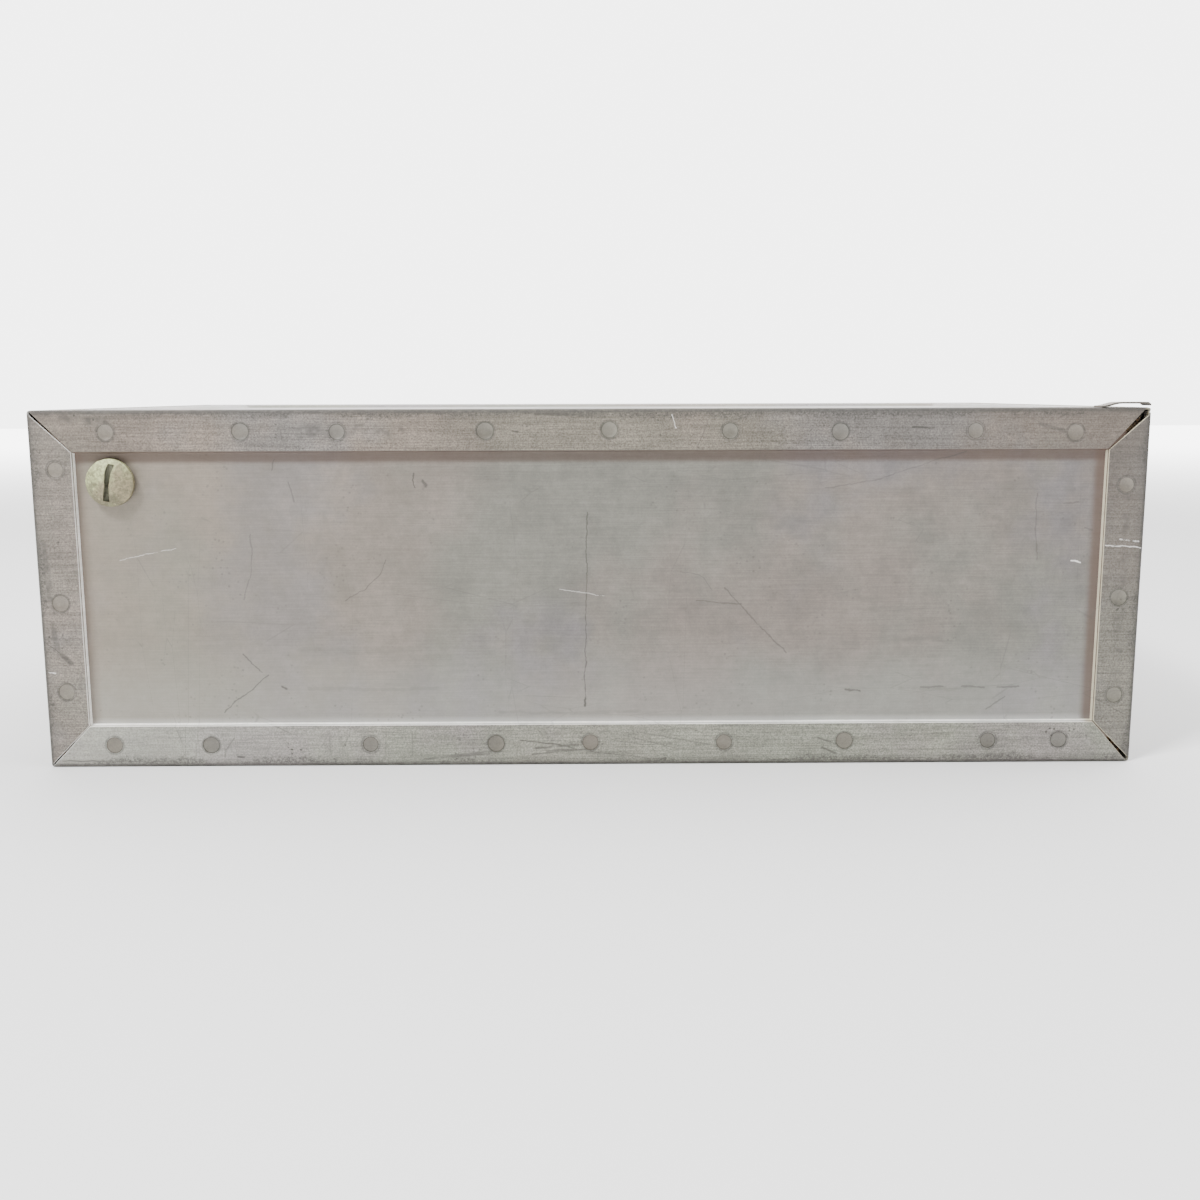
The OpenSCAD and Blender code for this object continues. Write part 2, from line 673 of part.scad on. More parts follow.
module pull_bail() color("#8f8c86") in_case() translate([body_w / 2, bail_y, bail_z]) {
    rod_x([-bail_half - bail_r - cup_ear, 0, 0], bail_pin_r, 2 * (bail_half + bail_r + cup_ear));
    rod_x([bail_bend - bail_half, -bail_reach, 0], bail_r, 2 * (bail_half - bail_bend));
    for (side = [-1, 1]) {
        rod_x([side * bail_half - bail_r, 0, 0], bail_r, 2 * bail_r);
        rod_y([side * bail_half, bail_bend - bail_reach, 0], bail_r, bail_reach - bail_bend);
        translate([side * (bail_half - bail_bend), bail_bend - bail_reach, 0])
            rod_bend(side > 0 ? 270 : 180, bail_bend, bail_r);
    }
}

pull_screw_spots = [for (x = [-40, 40], y = [-3.8, cup_size[1] + 3.8])
    [body_w / 2 + x, cup_lo[1] + y]];

module pull_screw_set() for (spot = pull_screw_spots)
    translate([spot[0], spot[1], field_z + 1.5]) countersunk(2.4, 1.2, 10);

module pull_screws() color("#8a8882") in_case() difference() {
    pull_screw_set();
    for (i = [0 : 3]) translate([pull_screw_spots[i][0], pull_screw_spots[i][1], field_z + 1.5])
        rotate([0, 0, 47 * i]) screw_slot(2.4);
}

// Turn lock: a slotted head on a shaft through a sleeve in the front wall. Its cam
// points up when the lock is open and swings over the keeper's foot when it is shut.

sleeve_r = 8;
shaft_r = 5;
sleeve_flange_r = 11;
sleeve_end = wall_front + 7;
nut_h = 4.5;
washer_r = min(11.8, lock_x - liner_lo[0] - 0.4);
head_seat = 1.7;
sleeve_flange = 1.4;
cam_y = sleeve_end + 0.3;
cam_t = 3;
cam_end = cam_y + cam_t;
cam_hub_r = 6.5;
cam_screw_r = 1.4;

// The hole through the wall that the sleeve fills
module lock_bore() rod_y([lock_x, -1, lock_z], sleeve_r, sleeve_end + 2);

module lock_sleeve() color("#8d8a80") in_case() difference() {
    union() {
        rod_y([lock_x, recess, lock_z], sleeve_r, sleeve_end - recess);
        rod_y([lock_x, recess - sleeve_flange, lock_z], sleeve_flange_r, sleeve_flange);
    }
    rod_y([lock_x, -1, lock_z], shaft_r + pin_fit, sleeve_end + 2);
}

// Profile of the head: a low dome on a short rim, turned about its axis
module head_profile() {
    rim = 3.4;
    crown = head_h - head_seat - rim;
    dome_r = (head_d * head_d / 4 + crown * crown) / (2 * crown);
    square([head_d / 2, rim]);
    intersection() {
        translate([0, rim + crown - dome_r]) circle(r = dome_r, $fn = 96);
        translate([0, rim]) square([head_d / 2, crown]);
    }
}

// The head faces -Y, and its slot leans to the right
module turn_head() color("#c9cdb4") in_case() translate([lock_x, recess, lock_z]) difference() {
    union() {
        rotate([90, 0, 0]) translate([0, 0, head_seat]) rotate_extrude($fn = 96) head_profile();
        rod_y([0, -2, 0], shaft_r, cam_end - recess + 2);
    }
    rotate([0, slot_lean, 0]) translate([-1.5, -head_h - 1, -10.2]) cube([3, 3.8, 20.4]);
    rod_y([0, cam_end - recess - 8, 0], cam_screw_r, 9);
}

module lock_washer() color("#8a8882") in_case() difference() {
    rod_y([lock_x, wall_front, lock_z], washer_r, 1);
    rod_y([lock_x, wall_front - 1, lock_z], sleeve_r, 3);
}

module lock_nut() color("#86837d") in_case() difference() {
    translate([lock_x, wall_front + 1, lock_z]) rotate([-90, 30, 0])
        cylinder(r = washer_r - 0.3, h = nut_h, $fn = 6);
    rod_y([lock_x, wall_front, lock_z], sleeve_r, nut_h + 2);
}

module lock_cam() color("#86837d") in_case() translate([lock_x, cam_y, lock_z]) difference() {
    rotate([0, slot_lean, 0]) union() {
        rod_y([0, 0, 0], cam_hub_r, cam_t);
        block([-cam_half, 0, 0], [cam_half, cam_t, cam_reach - cam_half]);
        rod_y([0, 0, cam_reach - cam_half], cam_half, cam_t);
    }
    rod_y([0, -1, 0], shaft_r, cam_t + 2);
}

module cam_screw() color("#8a8882") in_case() translate([lock_x, 0, lock_z]) difference() {
    union() {
        rod_y([0, cam_end, 0], cam_hub_r, 2);
        rod_y([0, cam_end - 8, 0], cam_screw_r, 9);
    }
    rotate([0, 30, 0]) translate([-cam_hub_r - 1, cam_end + 1.2, -0.5])
        cube([2 * cam_hub_r + 2, 1, 1]);
}

// A plate between two corners, thin along X, with its four corners rounded
module round_plate(lo, hi, r) {
    block([lo[0], lo[1] + r, lo[2]], [hi[0], hi[1] - r, hi[2]]);
    block([lo[0], lo[1], lo[2] + r], [hi[0], hi[1], hi[2] - r]);
    for (y = [lo[1] + r, hi[1] - r], z = [lo[2] + r, hi[2] - r])
        rod_x([lo[0], y, z], r, hi[0] - lo[0]);
}

// Drop handles on the side panels, given for the left side and mirrored

pivot_z = 123;
pivot_x = recess - 8.4;
plate_half = 68;
lug_r = 6.5;
lug_half = 5;
lug_y = handle_span / 2 - handle_r - 1 - lug_half;
handle_pin_r = 3;
handle_bend = 14;

module left_side() in_case() translate([0, body_d / 2, 0]) children();
module right_side() in_case() translate([body_w, body_d / 2, 0]) mirror([1, 0, 0]) children();

rivet_spots = [for (y = [-60, 60], z = [-11, 11]) [y, pivot_z + z]];

module rivet_set(r, from, len) for (spot = rivet_spots)
    rod_x([from, spot[0], spot[1]], r, len);

// Holes for the rivets in the left panel, in the case's own coordinates
module handle_rivet_holes() translate([0, body_d / 2, 0]) rivet_set(2, 0, inside);

module handle_plate() difference() {
    union() {
        round_plate([recess - 2, -plate_half, pivot_z - 18], [recess, plate_half, pivot_z + 18], 7);
        for (y = [-lug_y, lug_y]) {
            rod_y([pivot_x, y - lug_half, pivot_z], lug_r, 2 * lug_half);
            block([pivot_x, y - lug_half, pivot_z - lug_r], [recess, y + lug_half, pivot_z + lug_r]);
        }
    }
    for (y = [-lug_y, lug_y])
        rod_y([pivot_x, y - lug_half - 1, pivot_z], handle_pin_r + pin_fit, 2 * lug_half + 2);
    rivet_set(2, recess - 3, 4);
}

module handle_bail() translate([pivot_x, 0, pivot_z]) {
    leg_y = handle_span / 2;
    bar_y = leg_y - handle_bend;
    rod_y([0, -bar_y, -handle_drop], handle_r, 2 * bar_y);
    rod_y([0, -leg_y * 0.6, -handle_drop], handle_r + 1.2, 2 * leg_y * 0.6);
    for (side = [-1, 1]) {
        translate([0, side * leg_y, handle_bend - handle_drop])
            cylinder(r = handle_r, h = handle_drop - handle_bend);
        translate([0, side * bar_y, handle_bend - handle_drop]) rotate([90, 0, 90])
            rod_bend(side > 0 ? 270 : 180, handle_bend, handle_r);
        translate([0, side * leg_y, 0]) sphere(r = handle_r);
        rod_y([0, side > 0 ? lug_y - lug_half - 1 : -leg_y, 0], handle_pin_r,
            leg_y - lug_y + lug_half + 1);
    }
}

module rivets() {
    rivet_set(2, recess - 2, panel_t + 2);
    rivet_set(3.6, recess - 3.2, 1.2);
}

module handle_plate_left() color("#8f8c86") left_side() handle_plate();
module handle_plate_right() color("#8f8c86") right_side() handle_plate();
module handle_bail_left() color("#8f8c86") left_side() handle_bail();
module handle_bail_right() color("#8f8c86") right_side() handle_bail();

module handle_rivets() color("#a3a09b") {
    left_side() rivets();
    right_side() rivets();
}

strip_front_top();
strip_front_bottom();
strip_front_left();
strip_front_right();
strip_back_top();
strip_back_bottom();
strip_back_left();
strip_back_right();
strip_left_top();
strip_left_bottom();
strip_right_top();
strip_right_bottom();
panel_front();
panel_back();
panel_left();
panel_right();
panel_bottom();
insulation_front();
insulation_back();
insulation_left();
insulation_right();
insulation_floor();
batten_front();
batten_back();
batten_left();
batten_right();
liner_floor();
liner_front();
liner_back();
liner_left();
liner_right();
rim_screws();
hinge_leaf_case();
hinge_leaf_lid();
hinge_pin();
hinge_screws_case();
hinge_screws_lid();
lid_pan();
lid_tray();
lid_frame();
lid_insulation();
lid_seal();
keeper();
keeper_screws();
pull_cup();
pull_bail();
pull_screws();
turn_head();
lock_sleeve();
lock_washer();
lock_nut();
lock_cam();
cam_screw();
handle_plate_left();
handle_plate_right();
handle_bail_left();
handle_bail_right();
handle_rivets();
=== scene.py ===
"""Looks of an insulated milk delivery box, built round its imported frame.

Sizes in the classes are millimetres in the case's own coordinates: a to the right from the
left face, b to the back from the front face and z up from the ground. Meshes are in metres
and end up in the row frame.
"""

import logging
import math
from dataclasses import dataclass, field, replace
from enum import Enum
from typing import Callable, Sequence

import bmesh
import bpy
from mathutils import Euler, Matrix, Vector


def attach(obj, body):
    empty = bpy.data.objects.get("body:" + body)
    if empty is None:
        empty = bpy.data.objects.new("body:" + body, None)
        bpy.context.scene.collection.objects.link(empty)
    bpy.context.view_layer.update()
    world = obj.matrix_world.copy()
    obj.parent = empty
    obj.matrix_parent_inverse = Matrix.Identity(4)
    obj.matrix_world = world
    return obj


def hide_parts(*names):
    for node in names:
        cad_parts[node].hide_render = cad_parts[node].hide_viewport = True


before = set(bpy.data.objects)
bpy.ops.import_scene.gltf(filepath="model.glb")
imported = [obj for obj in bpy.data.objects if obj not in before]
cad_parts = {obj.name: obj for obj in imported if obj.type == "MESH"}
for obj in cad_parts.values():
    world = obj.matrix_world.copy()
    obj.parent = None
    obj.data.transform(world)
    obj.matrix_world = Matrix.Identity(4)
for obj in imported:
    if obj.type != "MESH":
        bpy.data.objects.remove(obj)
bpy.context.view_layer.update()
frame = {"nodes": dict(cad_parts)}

LOG = logging.getLogger("milk_box")
MM = 0.001
Piece = bpy.types.Object
Colour = tuple[float, float, float]
Spot = tuple[float, float]
Test = Callable[[Vector, Vector], bool]


@dataclass(frozen=True)
class CaseSize:
    """Sizes of the case that its sub-assemblies share, in millimetres."""

    width: float = 610.0
    depth: float = 330.0
    height: float = 199.0
    front_y: float = -162.6
    sheet: float = 1.2
    bend: float = 2.0
    panel: float = 1.0
    dish: float = 2.0
    dish_run: float = 0.55
    rail_left: float = 24.0
    rail_right: float = 22.4
    rail_top: float = 22.8
    rail_bottom: float = 23.2
    rail_side: float = 23.0
    face_left: float = 22.9
    face_right: float = 22.0
    face_top: float = 22.2
    face_bottom: float = 23.5
    field_gap: float = 0.4
    lid_edge: float = 14.0
    lid_gap: float = 1.5
    hinge_room: float = 7.0

    @property
    def recess(self) -> float:
        """Depth of a panel's field behind the faces of the strips."""
        return self.sheet + self.dish

    def shift(self) -> Matrix:
        """The move from the case's coordinates to the row frame."""
        return Matrix.Translation(Vector((-self.width / 2, self.front_y, 0)) * MM)

    def point(self, a: float, b: float, z: float) -> Vector:
        """The row frame's point for case coordinates.

        Args:
            a: Distance to the right of the left face.
            b: Distance behind the front face.
            z: Height above the ground.

        Returns:
            The point in metres.
        """
        return Vector((a - self.width / 2, b + self.front_y, z)) * MM


CASE = CaseSize()


# Modelling


def deselect_all() -> None:
    """Leaves edit mode and deselects every object."""
    if bpy.context.mode != "OBJECT":
        bpy.ops.object.mode_set(mode="OBJECT")
    bpy.ops.object.select_all(action="DESELECT")


def activate(piece: Piece) -> None:
    """Makes one object the only selected one, and the active one."""
    deselect_all()
    piece.select_set(True)
    bpy.context.view_layer.objects.active = piece


def set_place(piece: Piece) -> Piece:
    """Puts an object's place, turn and scale into its mesh."""
    activate(piece)
    bpy.ops.object.transform_apply(location=True, rotation=True, scale=True)
    return piece


def named(name: str) -> Piece:
    """Names the object that was added last, and sets its place in its mesh."""
    piece = bpy.context.object
    piece.name = name
    piece.data.name = name
    return set_place(piece)


def block(name: str, lo: Sequence[float], hi: Sequence[float]) -> Piece:
    """Adds a block between two corners.

    Args:
        name: The object's name.
        lo: Lowest corner in millimetres.
        hi: Highest corner in millimetres.

    Returns:
        The new object.
    """
    low, high = Vector(lo) * MM, Vector(hi) * MM
    deselect_all()
    bpy.ops.mesh.primitive_cube_add(size=1.0, location=(low + high) / 2, scale=high - low)
    return named(name)


def rod(name: str, start: Sequence[float], along: str, radius: float, length: float,
        sides: int = 32, end_radius: float | None = None) -> Piece:
    """Adds a cylinder or a cone that runs from a point along an axis.

    Args:
        name: The object's name.
        start: Middle of its first end in millimetres.
        along: The axis, as X, Y or Z with a sign in front.
        radius: Radius at the start.
        length: Its length.
        sides: Number of sides.
        end_radius: Radius at the far end, if it differs.

    Returns:
        The new object.
    """
    sign = -1 if along[0] == "-" else 1
    way = {"X": Vector((1, 0, 0)), "Y": Vector((0, 1, 0)), "Z": Vector((0, 0, 1))}[along[-1]] * sign
    middle = (Vector(start) + way * length / 2) * MM
    turn = Vector((0, 0, 1)).rotation_difference(way).to_euler()
    deselect_all()
    bpy.ops.mesh.primitive_cone_add(
        vertices=sides, radius1=radius * MM, depth=length * MM, location=middle, rotation=turn,
        radius2=(radius if end_radius is None else end_radius) * MM)
    return named(name)


class Edit:
    """Edit mode on one object, where parts are picked by their place and direction."""

    def __init__(self, piece: Piece, mode: str = "FACE") -> None:
        """Keeps the object and what is picked: VERT, EDGE or FACE."""
        self.piece = piece
        self.mode = mode

    def __enter__(self) -> "Edit":
        """Enters edit mode with nothing selected."""
        activate(self.piece)
        bpy.ops.object.mode_set(mode="EDIT")
        bpy.ops.mesh.select_mode(type=self.mode)
        bpy.ops.mesh.select_all(action="DESELECT")
        return self

    def __exit__(self, *_: object) -> None:
        """Leaves edit mode."""
        bpy.ops.object.mode_set(mode="OBJECT")

    def pick(self, test: Test) -> int:
        """Selects only the parts that pass a test.

        Args:
            test: Takes a part's middle in millimetres, and its normal or its direction.

        Returns:
            How many parts were selected.
        """
        bpy.ops.mesh.select_all(action="DESELECT")
        mesh = bmesh.from_edit_mesh(self.piece.data)
        count = 0
        if self.mode == "FACE":
            facts = [(f, f.calc_center_median(), f.normal) for f in mesh.faces]
        elif self.mode == "EDGE":
            facts = [(e, (e.verts[0].co + e.verts[1].co) / 2,
                      (e.verts[1].co - e.verts[0].co).normalized()) for e in mesh.edges]
        else:
            facts = [(v, v.co, v.normal) for v in mesh.verts]
        for part, middle, way in facts:
            if test(middle / MM, way):
                part.select_set(True)
                count += 1
        bmesh.update_edit_mesh(self.piece.data)
        return count

    def pick_border(self) -> None:
        """Selects the mesh's open edges."""
        bpy.ops.mesh.select_all(action="SELECT")
        bpy.ops.mesh.region_to_loop()


def apply_modifier(piece: Piece, kind: str, **settings: object) -> Piece:
    """Adds a modifier with the given settings and applies it."""
    activate(piece)
    modifier = piece.modifiers.new(kind.title(), kind)
    for key, value in settings.items():
        setattr(modifier, key, value)
    bpy.ops.object.modifier_apply(modifier=modifier.name)
    return piece


def combine(piece: Piece, other: Piece, operation: str = "DIFFERENCE") -> Piece:
    """Cuts another object out of a piece, or adds it, and deletes the other.

    Args:
        piece: The piece that is changed.
        other: The cutter or the addition.
        operation: DIFFERENCE or UNION.

    Returns:
        The changed piece.
    """
    apply_modifier(piece, "BOOLEAN", object=other, operation=operation, solver="EXACT",
                   material_mode="TRANSFER")
    bpy.data.objects.remove(other)
    return piece


def join(pieces: Sequence[Piece], name: str) -> Piece:
    """Joins several objects into one mesh under a name."""
    activate(pieces[0])
    for other in pieces[1:]:
        other.select_set(True)
    if len(pieces) > 1:
        bpy.ops.object.join()
    pieces[0].name = name
    pieces[0].data.name = name
    return pieces[0]


def turn_out(piece: Piece) -> Piece:
    """Merges doubles and turns all faces outwards."""
    with Edit(piece):
        bpy.ops.mesh.select_all(action="SELECT")
        bpy.ops.mesh.remove_doubles(threshold=1e-6)
        bpy.ops.mesh.normals_make_consistent(inside=False)
    return piece


def put(piece: Piece, matrix: Matrix) -> Piece:
    """Moves, turns or mirrors a piece's mesh, and keeps its faces outwards."""
    piece.matrix_world = matrix
    set_place(piece)
    return turn_out(piece) if matrix.determinant() < 0 else piece


def soften(piece: Piece, width: float, angle: float = 35.0, segments: int = 2) -> Piece:
    """Rounds the edges of a piece that are sharper than an angle."""
    return apply_modifier(piece, "BEVEL", width=width * MM, segments=segments,
                          limit_method="ANGLE", angle_limit=math.radians(angle))


def smooth(piece: Piece, angle: float) -> Piece:
    """Shades a piece smoothly across edges under an angle in degrees."""
    activate(piece)
    bpy.ops.object.shade_smooth_by_angle(angle=math.radians(angle))
    return piece


def dress(piece: Piece, *materials: bpy.types.Material) -> Piece:
    """Gives a piece its materials, in the order of its slots."""
    piece.data.materials.clear()
    for material in materials:
        piece.data.materials.append(material)
    return piece


def hand_over(piece: Piece, body: str, slot: str, *nodes: str) -> Piece:
    """Puts a finished piece on its body and hides the nodes that it replaces.

    Args:
        piece: The finished piece.
        body: The CAD body that it rides on.
        slot: The record's material slot; not used.
        nodes: The CAD nodes that it replaces.

    Returns:
        The piece.
    """
    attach(piece, body)
    if nodes:
        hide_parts(*nodes)
    LOG.info("%s on %s: %d faces", piece.name, body, len(piece.data.polygons))
    return piece


# Shader graphs


class Graph:
    """Short calls that add nodes to one tree and link them."""

    def __init__(self, tree: bpy.types.NodeTree) -> None:
        """Keeps the tree."""
        self.tree = tree

    def feed(self, socket: bpy.types.NodeSocket, value: object) -> None:
        """Links a socket to an output, or sets its value."""
        if isinstance(value, bpy.types.NodeSocket):
            self.tree.links.new(value, socket)
        elif isinstance(value, tuple) and socket.type == "RGBA" and len(value) == 3:
            socket.default_value = (*value, 1.0)
        else:
            socket.default_value = value

    def add(self, kind: str, inputs: dict[str, object] | None = None,
            **settings: object) -> bpy.types.Node:
        """Adds a node with its settings and named inputs."""
        node = self.tree.nodes.new(kind)
        for key, value in settings.items():
            setattr(node, key, value)
        for key, value in (inputs or {}).items():
            self.feed(node.inputs[key], value)
        return node

    def math(self, operation: str, *values: object, clamp: bool = False) -> bpy.types.NodeSocket:
        """A Math node's result."""
        node = self.add("ShaderNodeMath", operation=operation, use_clamp=clamp)
        for socket, value in zip(node.inputs, values):
            self.feed(socket, value)
        return node.outputs[0]

    def vector(self, operation: str, *values: object) -> bpy.types.NodeSocket:
        """A Vector Math node's result."""
        node = self.add("ShaderNodeVectorMath", operation=operation)
        for socket, value in zip(node.inputs, values):
            self.feed(socket, value)
        number = operation in ("DOT_PRODUCT", "LENGTH", "DISTANCE")
        return node.outputs["Value" if number else "Vector"]

    def scale(self, vector: object, by: object) -> bpy.types.NodeSocket:
        """A vector times a number."""
        node = self.add("ShaderNodeVectorMath", operation="SCALE")
        self.feed(node.inputs[0], vector)
        self.feed(node.inputs["Scale"], by)
        return node.outputs["Vector"]

    def mix(self, factor: object, first: object, second: object,
            blend: str = "MIX") -> bpy.types.NodeSocket:
        """A mix of two colours."""
        node = self.add("ShaderNodeMix", data_type="RGBA", blend_type=blend)
        self.feed(node.inputs[0], factor)
        self.feed(node.inputs[6], first)
        self.feed(node.inputs[7], second)
        return node.outputs[2]

    def span(self, value: object, lo: object, hi: object, out_lo: object = 0.0,
             out_hi: object = 1.0) -> bpy.types.NodeSocket:
        """A smooth step from one range to another."""
        node = self.add("ShaderNodeMapRange", interpolation_type="SMOOTHSTEP")
        for index, number in enumerate((value, lo, hi, out_lo, out_hi)):
            self.feed(node.inputs[index], number)
        return node.outputs[0]

    def noise(self, vector: object, scale: float, detail: float = 2.0, roughness: float = 0.5,
              distortion: float = 0.0) -> bpy.types.NodeSocket:
        """A noise value from 0 to 1."""
        node = self.add("ShaderNodeTexNoise", {
            "Vector": vector, "Scale": scale, "Detail": detail, "Roughness": roughness,
            "Distortion": distortion})
        return node.outputs[0]

    def cells(self, vector: object, scale: float, feature: str = "F1",
              output: str = "Distance") -> bpy.types.NodeSocket:
        """A Voronoi result."""
        node = self.add("ShaderNodeTexVoronoi", {"Vector": vector, "Scale": scale},
                        feature=feature)
        return node.outputs[output]

    def place(self) -> bpy.types.NodeSocket:
        """Object coordinates, which are the row frame's metres."""
        return self.add("ShaderNodeTexCoord").outputs["Object"]

    def use(self, group: bpy.types.NodeTree, **inputs: object) -> bpy.types.Node:
        """Adds a node group; underscores in the names of inputs stand for spaces."""
        node = self.add("ShaderNodeGroup", node_tree=group)
        for key, value in inputs.items():
            self.feed(node.inputs[key.replace("_", " ")], value)
        return node


KINDS = {"number": "NodeSocketFloat", "vector": "NodeSocketVector", "colour": "NodeSocketColor"}


def new_group(name: str, inputs: dict[str, str], outputs: dict[str, str]) -> tuple[
        Graph, bpy.types.Node, bpy.types.Node]:
    """Starts a shader node group.

    Args:
        name: The group's name.
        inputs: Names and kinds of its inputs.
        outputs: Names and kinds of its outputs.

    Returns:
        A graph on its tree, its input node and its output node.
    """
    tree = bpy.data.node_groups.new(name, "ShaderNodeTree")
    for way, sockets in (("INPUT", inputs), ("OUTPUT", outputs)):
        for key, kind in sockets.items():
            tree.interface.new_socket(key, in_out=way, socket_type=KINDS[kind])
    graph = Graph(tree)
    return graph, graph.add("NodeGroupInput"), graph.add("NodeGroupOutput")


def brush_lines() -> bpy.types.NodeTree:
    """Fine lines from rolling and rubbing: along the width on upright and on level faces.

    Returns:
        A group with Place in, and Lines from 0 to 1 out.
    """
    graph, given, out = new_group("brush_lines", {"Place": "vector"}, {"Lines": "number"})
    place = given.outputs["Place"]
    upright = graph.vector("MULTIPLY", place, (34.0, 34.0, 1700.0))
    level = graph.vector("MULTIPLY", place, (34.0, 1700.0, 34.0))
    normal = graph.add("ShaderNodeTexCoord").outputs["Normal"]
    flat = graph.math("GREATER_THAN", graph.math(
        "ABSOLUTE", graph.vector("DOT_PRODUCT", normal, (0.0, 0.0, 1.0))), 0.7)
    along = graph.mix(flat, upright, level)
    graph.feed(out.inputs["Lines"], graph.span(graph.noise(along, 1.0, 2.0, 0.7), 0.25, 0.75))
    return graph.tree


def fold_grime_and_shade() -> bpy.types.NodeTree:
    """Dark blotches of grime along the folded edges of the case, and a thin dark line on the folds that
    is painted shade of the rounded bends.

    Returns:
        A group with Place and Reach in, and Mask out.
    """
    graph, given, out = new_group(
        "fold_grime_and_shade", {"Place": "vector", "Reach": "number"}, {"Mask": "number"})
    place = given.outputs["Place"]
    split = graph.add("ShaderNodeSeparateXYZ", {"Vector": place})
    half_z = CASE.height / 2 * MM
    from_x = graph.math("SUBTRACT", CASE.width / 2 * MM, graph.math("ABSOLUTE", split.outputs[0]))
    middle_y = (CASE.front_y + CASE.depth / 2) * MM
    from_y = graph.math("SUBTRACT", CASE.depth / 2 * MM, graph.math(
        "ABSOLUTE", graph.math("SUBTRACT", split.outputs[1], middle_y)))
    from_z = graph.math("SUBTRACT", half_z, graph.math(
        "ABSOLUTE", graph.math("SUBTRACT", split.outputs[2], half_z)))
    low = graph.math("MINIMUM", from_x, from_y)
    high = graph.math("MAXIMUM", from_x, from_y)
    edge = graph.math("MAXIMUM", low, graph.math("MINIMUM", high, from_z))
    blotch = graph.noise(place, 380.0, 5.0, 0.72)
    patch = graph.noise(graph.vector("ADD", place, (3.1, 1.7, 0.4)), 24.0, 2.0)
    reach = graph.math("MULTIPLY", given.outputs["Reach"], graph.span(patch, 0.35, 0.7, 0.35, 1.6))
    near = graph.span(edge, 0.0, reach, 1.0, 0.0)
    mask = graph.span(graph.math("ADD", near, graph.math("MULTIPLY", blotch, 1.5)), 1.1, 1.6)
    speckled = graph.math("MULTIPLY", mask, graph.span(
        graph.noise(place, 900.0, 3.0, 0.7), 0.35, 0.6, 0.25, 1.0))
    # The thin dark line along the folds is painted shade of the rounded bends, not dirt.
    line = graph.math("MAXIMUM", graph.span(edge, 0.0012, 0.0034, 1.1, 0.0),
                      graph.span(edge, 0.002, 0.0065, 0.32, 0.0))
    line = graph.math("MULTIPLY", line, graph.span(blotch, 0.35, 0.6, 0.8, 1.0))
    graph.feed(out.inputs["Mask"], graph.math("MAXIMUM", speckled, line))
    return graph.tree


def sheet_stain() -> bpy.types.NodeTree:
    """Colours of old aluminium sheet: cloudy warm and cool patches, smears and pits.

    Returns:
        A group with Place and three colours in, and Colour, Cloud, Pits and Grit out.
    """
    graph, given, out = new_group(
        "sheet_stain",
        {"Place": "vector", "Base": "colour", "Warm": "colour", "Cool": "colour"},
        {"Colour": "colour", "Cloud": "number", "Pits": "number", "Grit": "number"})
    place = given.outputs["Place"]
    warm = graph.noise(graph.vector("ADD", place, (1.3, 4.2, 0.9)), 6.0, 4.0, 0.6)
    cool = graph.noise(graph.vector("ADD", place, (7.7, 0.3, 2.1)), 9.0, 4.0, 0.6)
    cloud = graph.noise(place, 30.0, 5.0, 0.7)
    colour = graph.mix(graph.span(warm, 0.4, 0.6), given.outputs["Base"], given.outputs["Warm"])
    colour = graph.mix(graph.span(cool, 0.48, 0.64), colour, given.outputs["Cool"])
    fine = graph.noise(place, 210.0, 3.0, 0.7)
    shade = graph.math("MULTIPLY", graph.span(cloud, 0.25, 0.75, 0.82, 1.14),
                       graph.span(fine, 0.2, 0.8, 0.9, 1.1))
    colour = graph.mix(1.0, colour, graph.add(
        "ShaderNodeCombineXYZ", {"X": shade, "Y": shade, "Z": shade}).outputs[0], "MULTIPLY")
    dots = graph.cells(graph.vector("ADD", place, (0.2, 0.5, 0.1)), 330.0)
    pits = graph.math("MULTIPLY", graph.span(dots, 0.12, 0.3, 1.0, 0.0),
                      graph.span(graph.noise(place, 48.0, 3.0, 0.6), 0.53, 0.66))
    graph.feed(out.inputs["Colour"], colour)
    graph.feed(out.inputs["Cloud"], cloud)
    graph.feed(out.inputs["Pits"], pits)
    graph.feed(out.inputs["Grit"], graph.noise(place, 1100.0, 3.0, 0.8))
    return graph.tree


def stroke() -> bpy.types.NodeTree:
    """A scratch or smear between two points, broken along its length.

    Returns:
        A group with Place, From, To, Width, Break and Rough in, and Mask out.
    """
    graph, given, out = new_group(
        "stroke", {"Place": "vector", "From": "vector", "To": "vector", "Width": "number",
                   "Break": "number", "Rough": "number"}, {"Mask": "number"})
    to_place = graph.vector("SUBTRACT", given.outputs["Place"], given.outputs["From"])
    run = graph.vector("SUBTRACT", given.outputs["To"], given.outputs["From"])
    share = graph.math("DIVIDE", graph.vector("DOT_PRODUCT", to_place, run),
                       graph.vector("DOT_PRODUCT", run, run), clamp=True)
    away = graph.vector("LENGTH", graph.vector("SUBTRACT", to_place, graph.scale(run, share)))
    rough = given.outputs["Rough"]
    width = graph.math("MULTIPLY", given.outputs["Width"], graph.span(rough, 0.3, 0.7, 0.5, 1.3))
    line = graph.span(away, graph.math("MULTIPLY", width, 0.35), width, 1.0, 0.0)
    gaps = graph.span(graph.math("SUBTRACT", rough, given.outputs["Break"]), 0.0, 0.1)
    graph.feed(out.inputs["Mask"], graph.math("MULTIPLY", line, gaps))
    return graph.tree


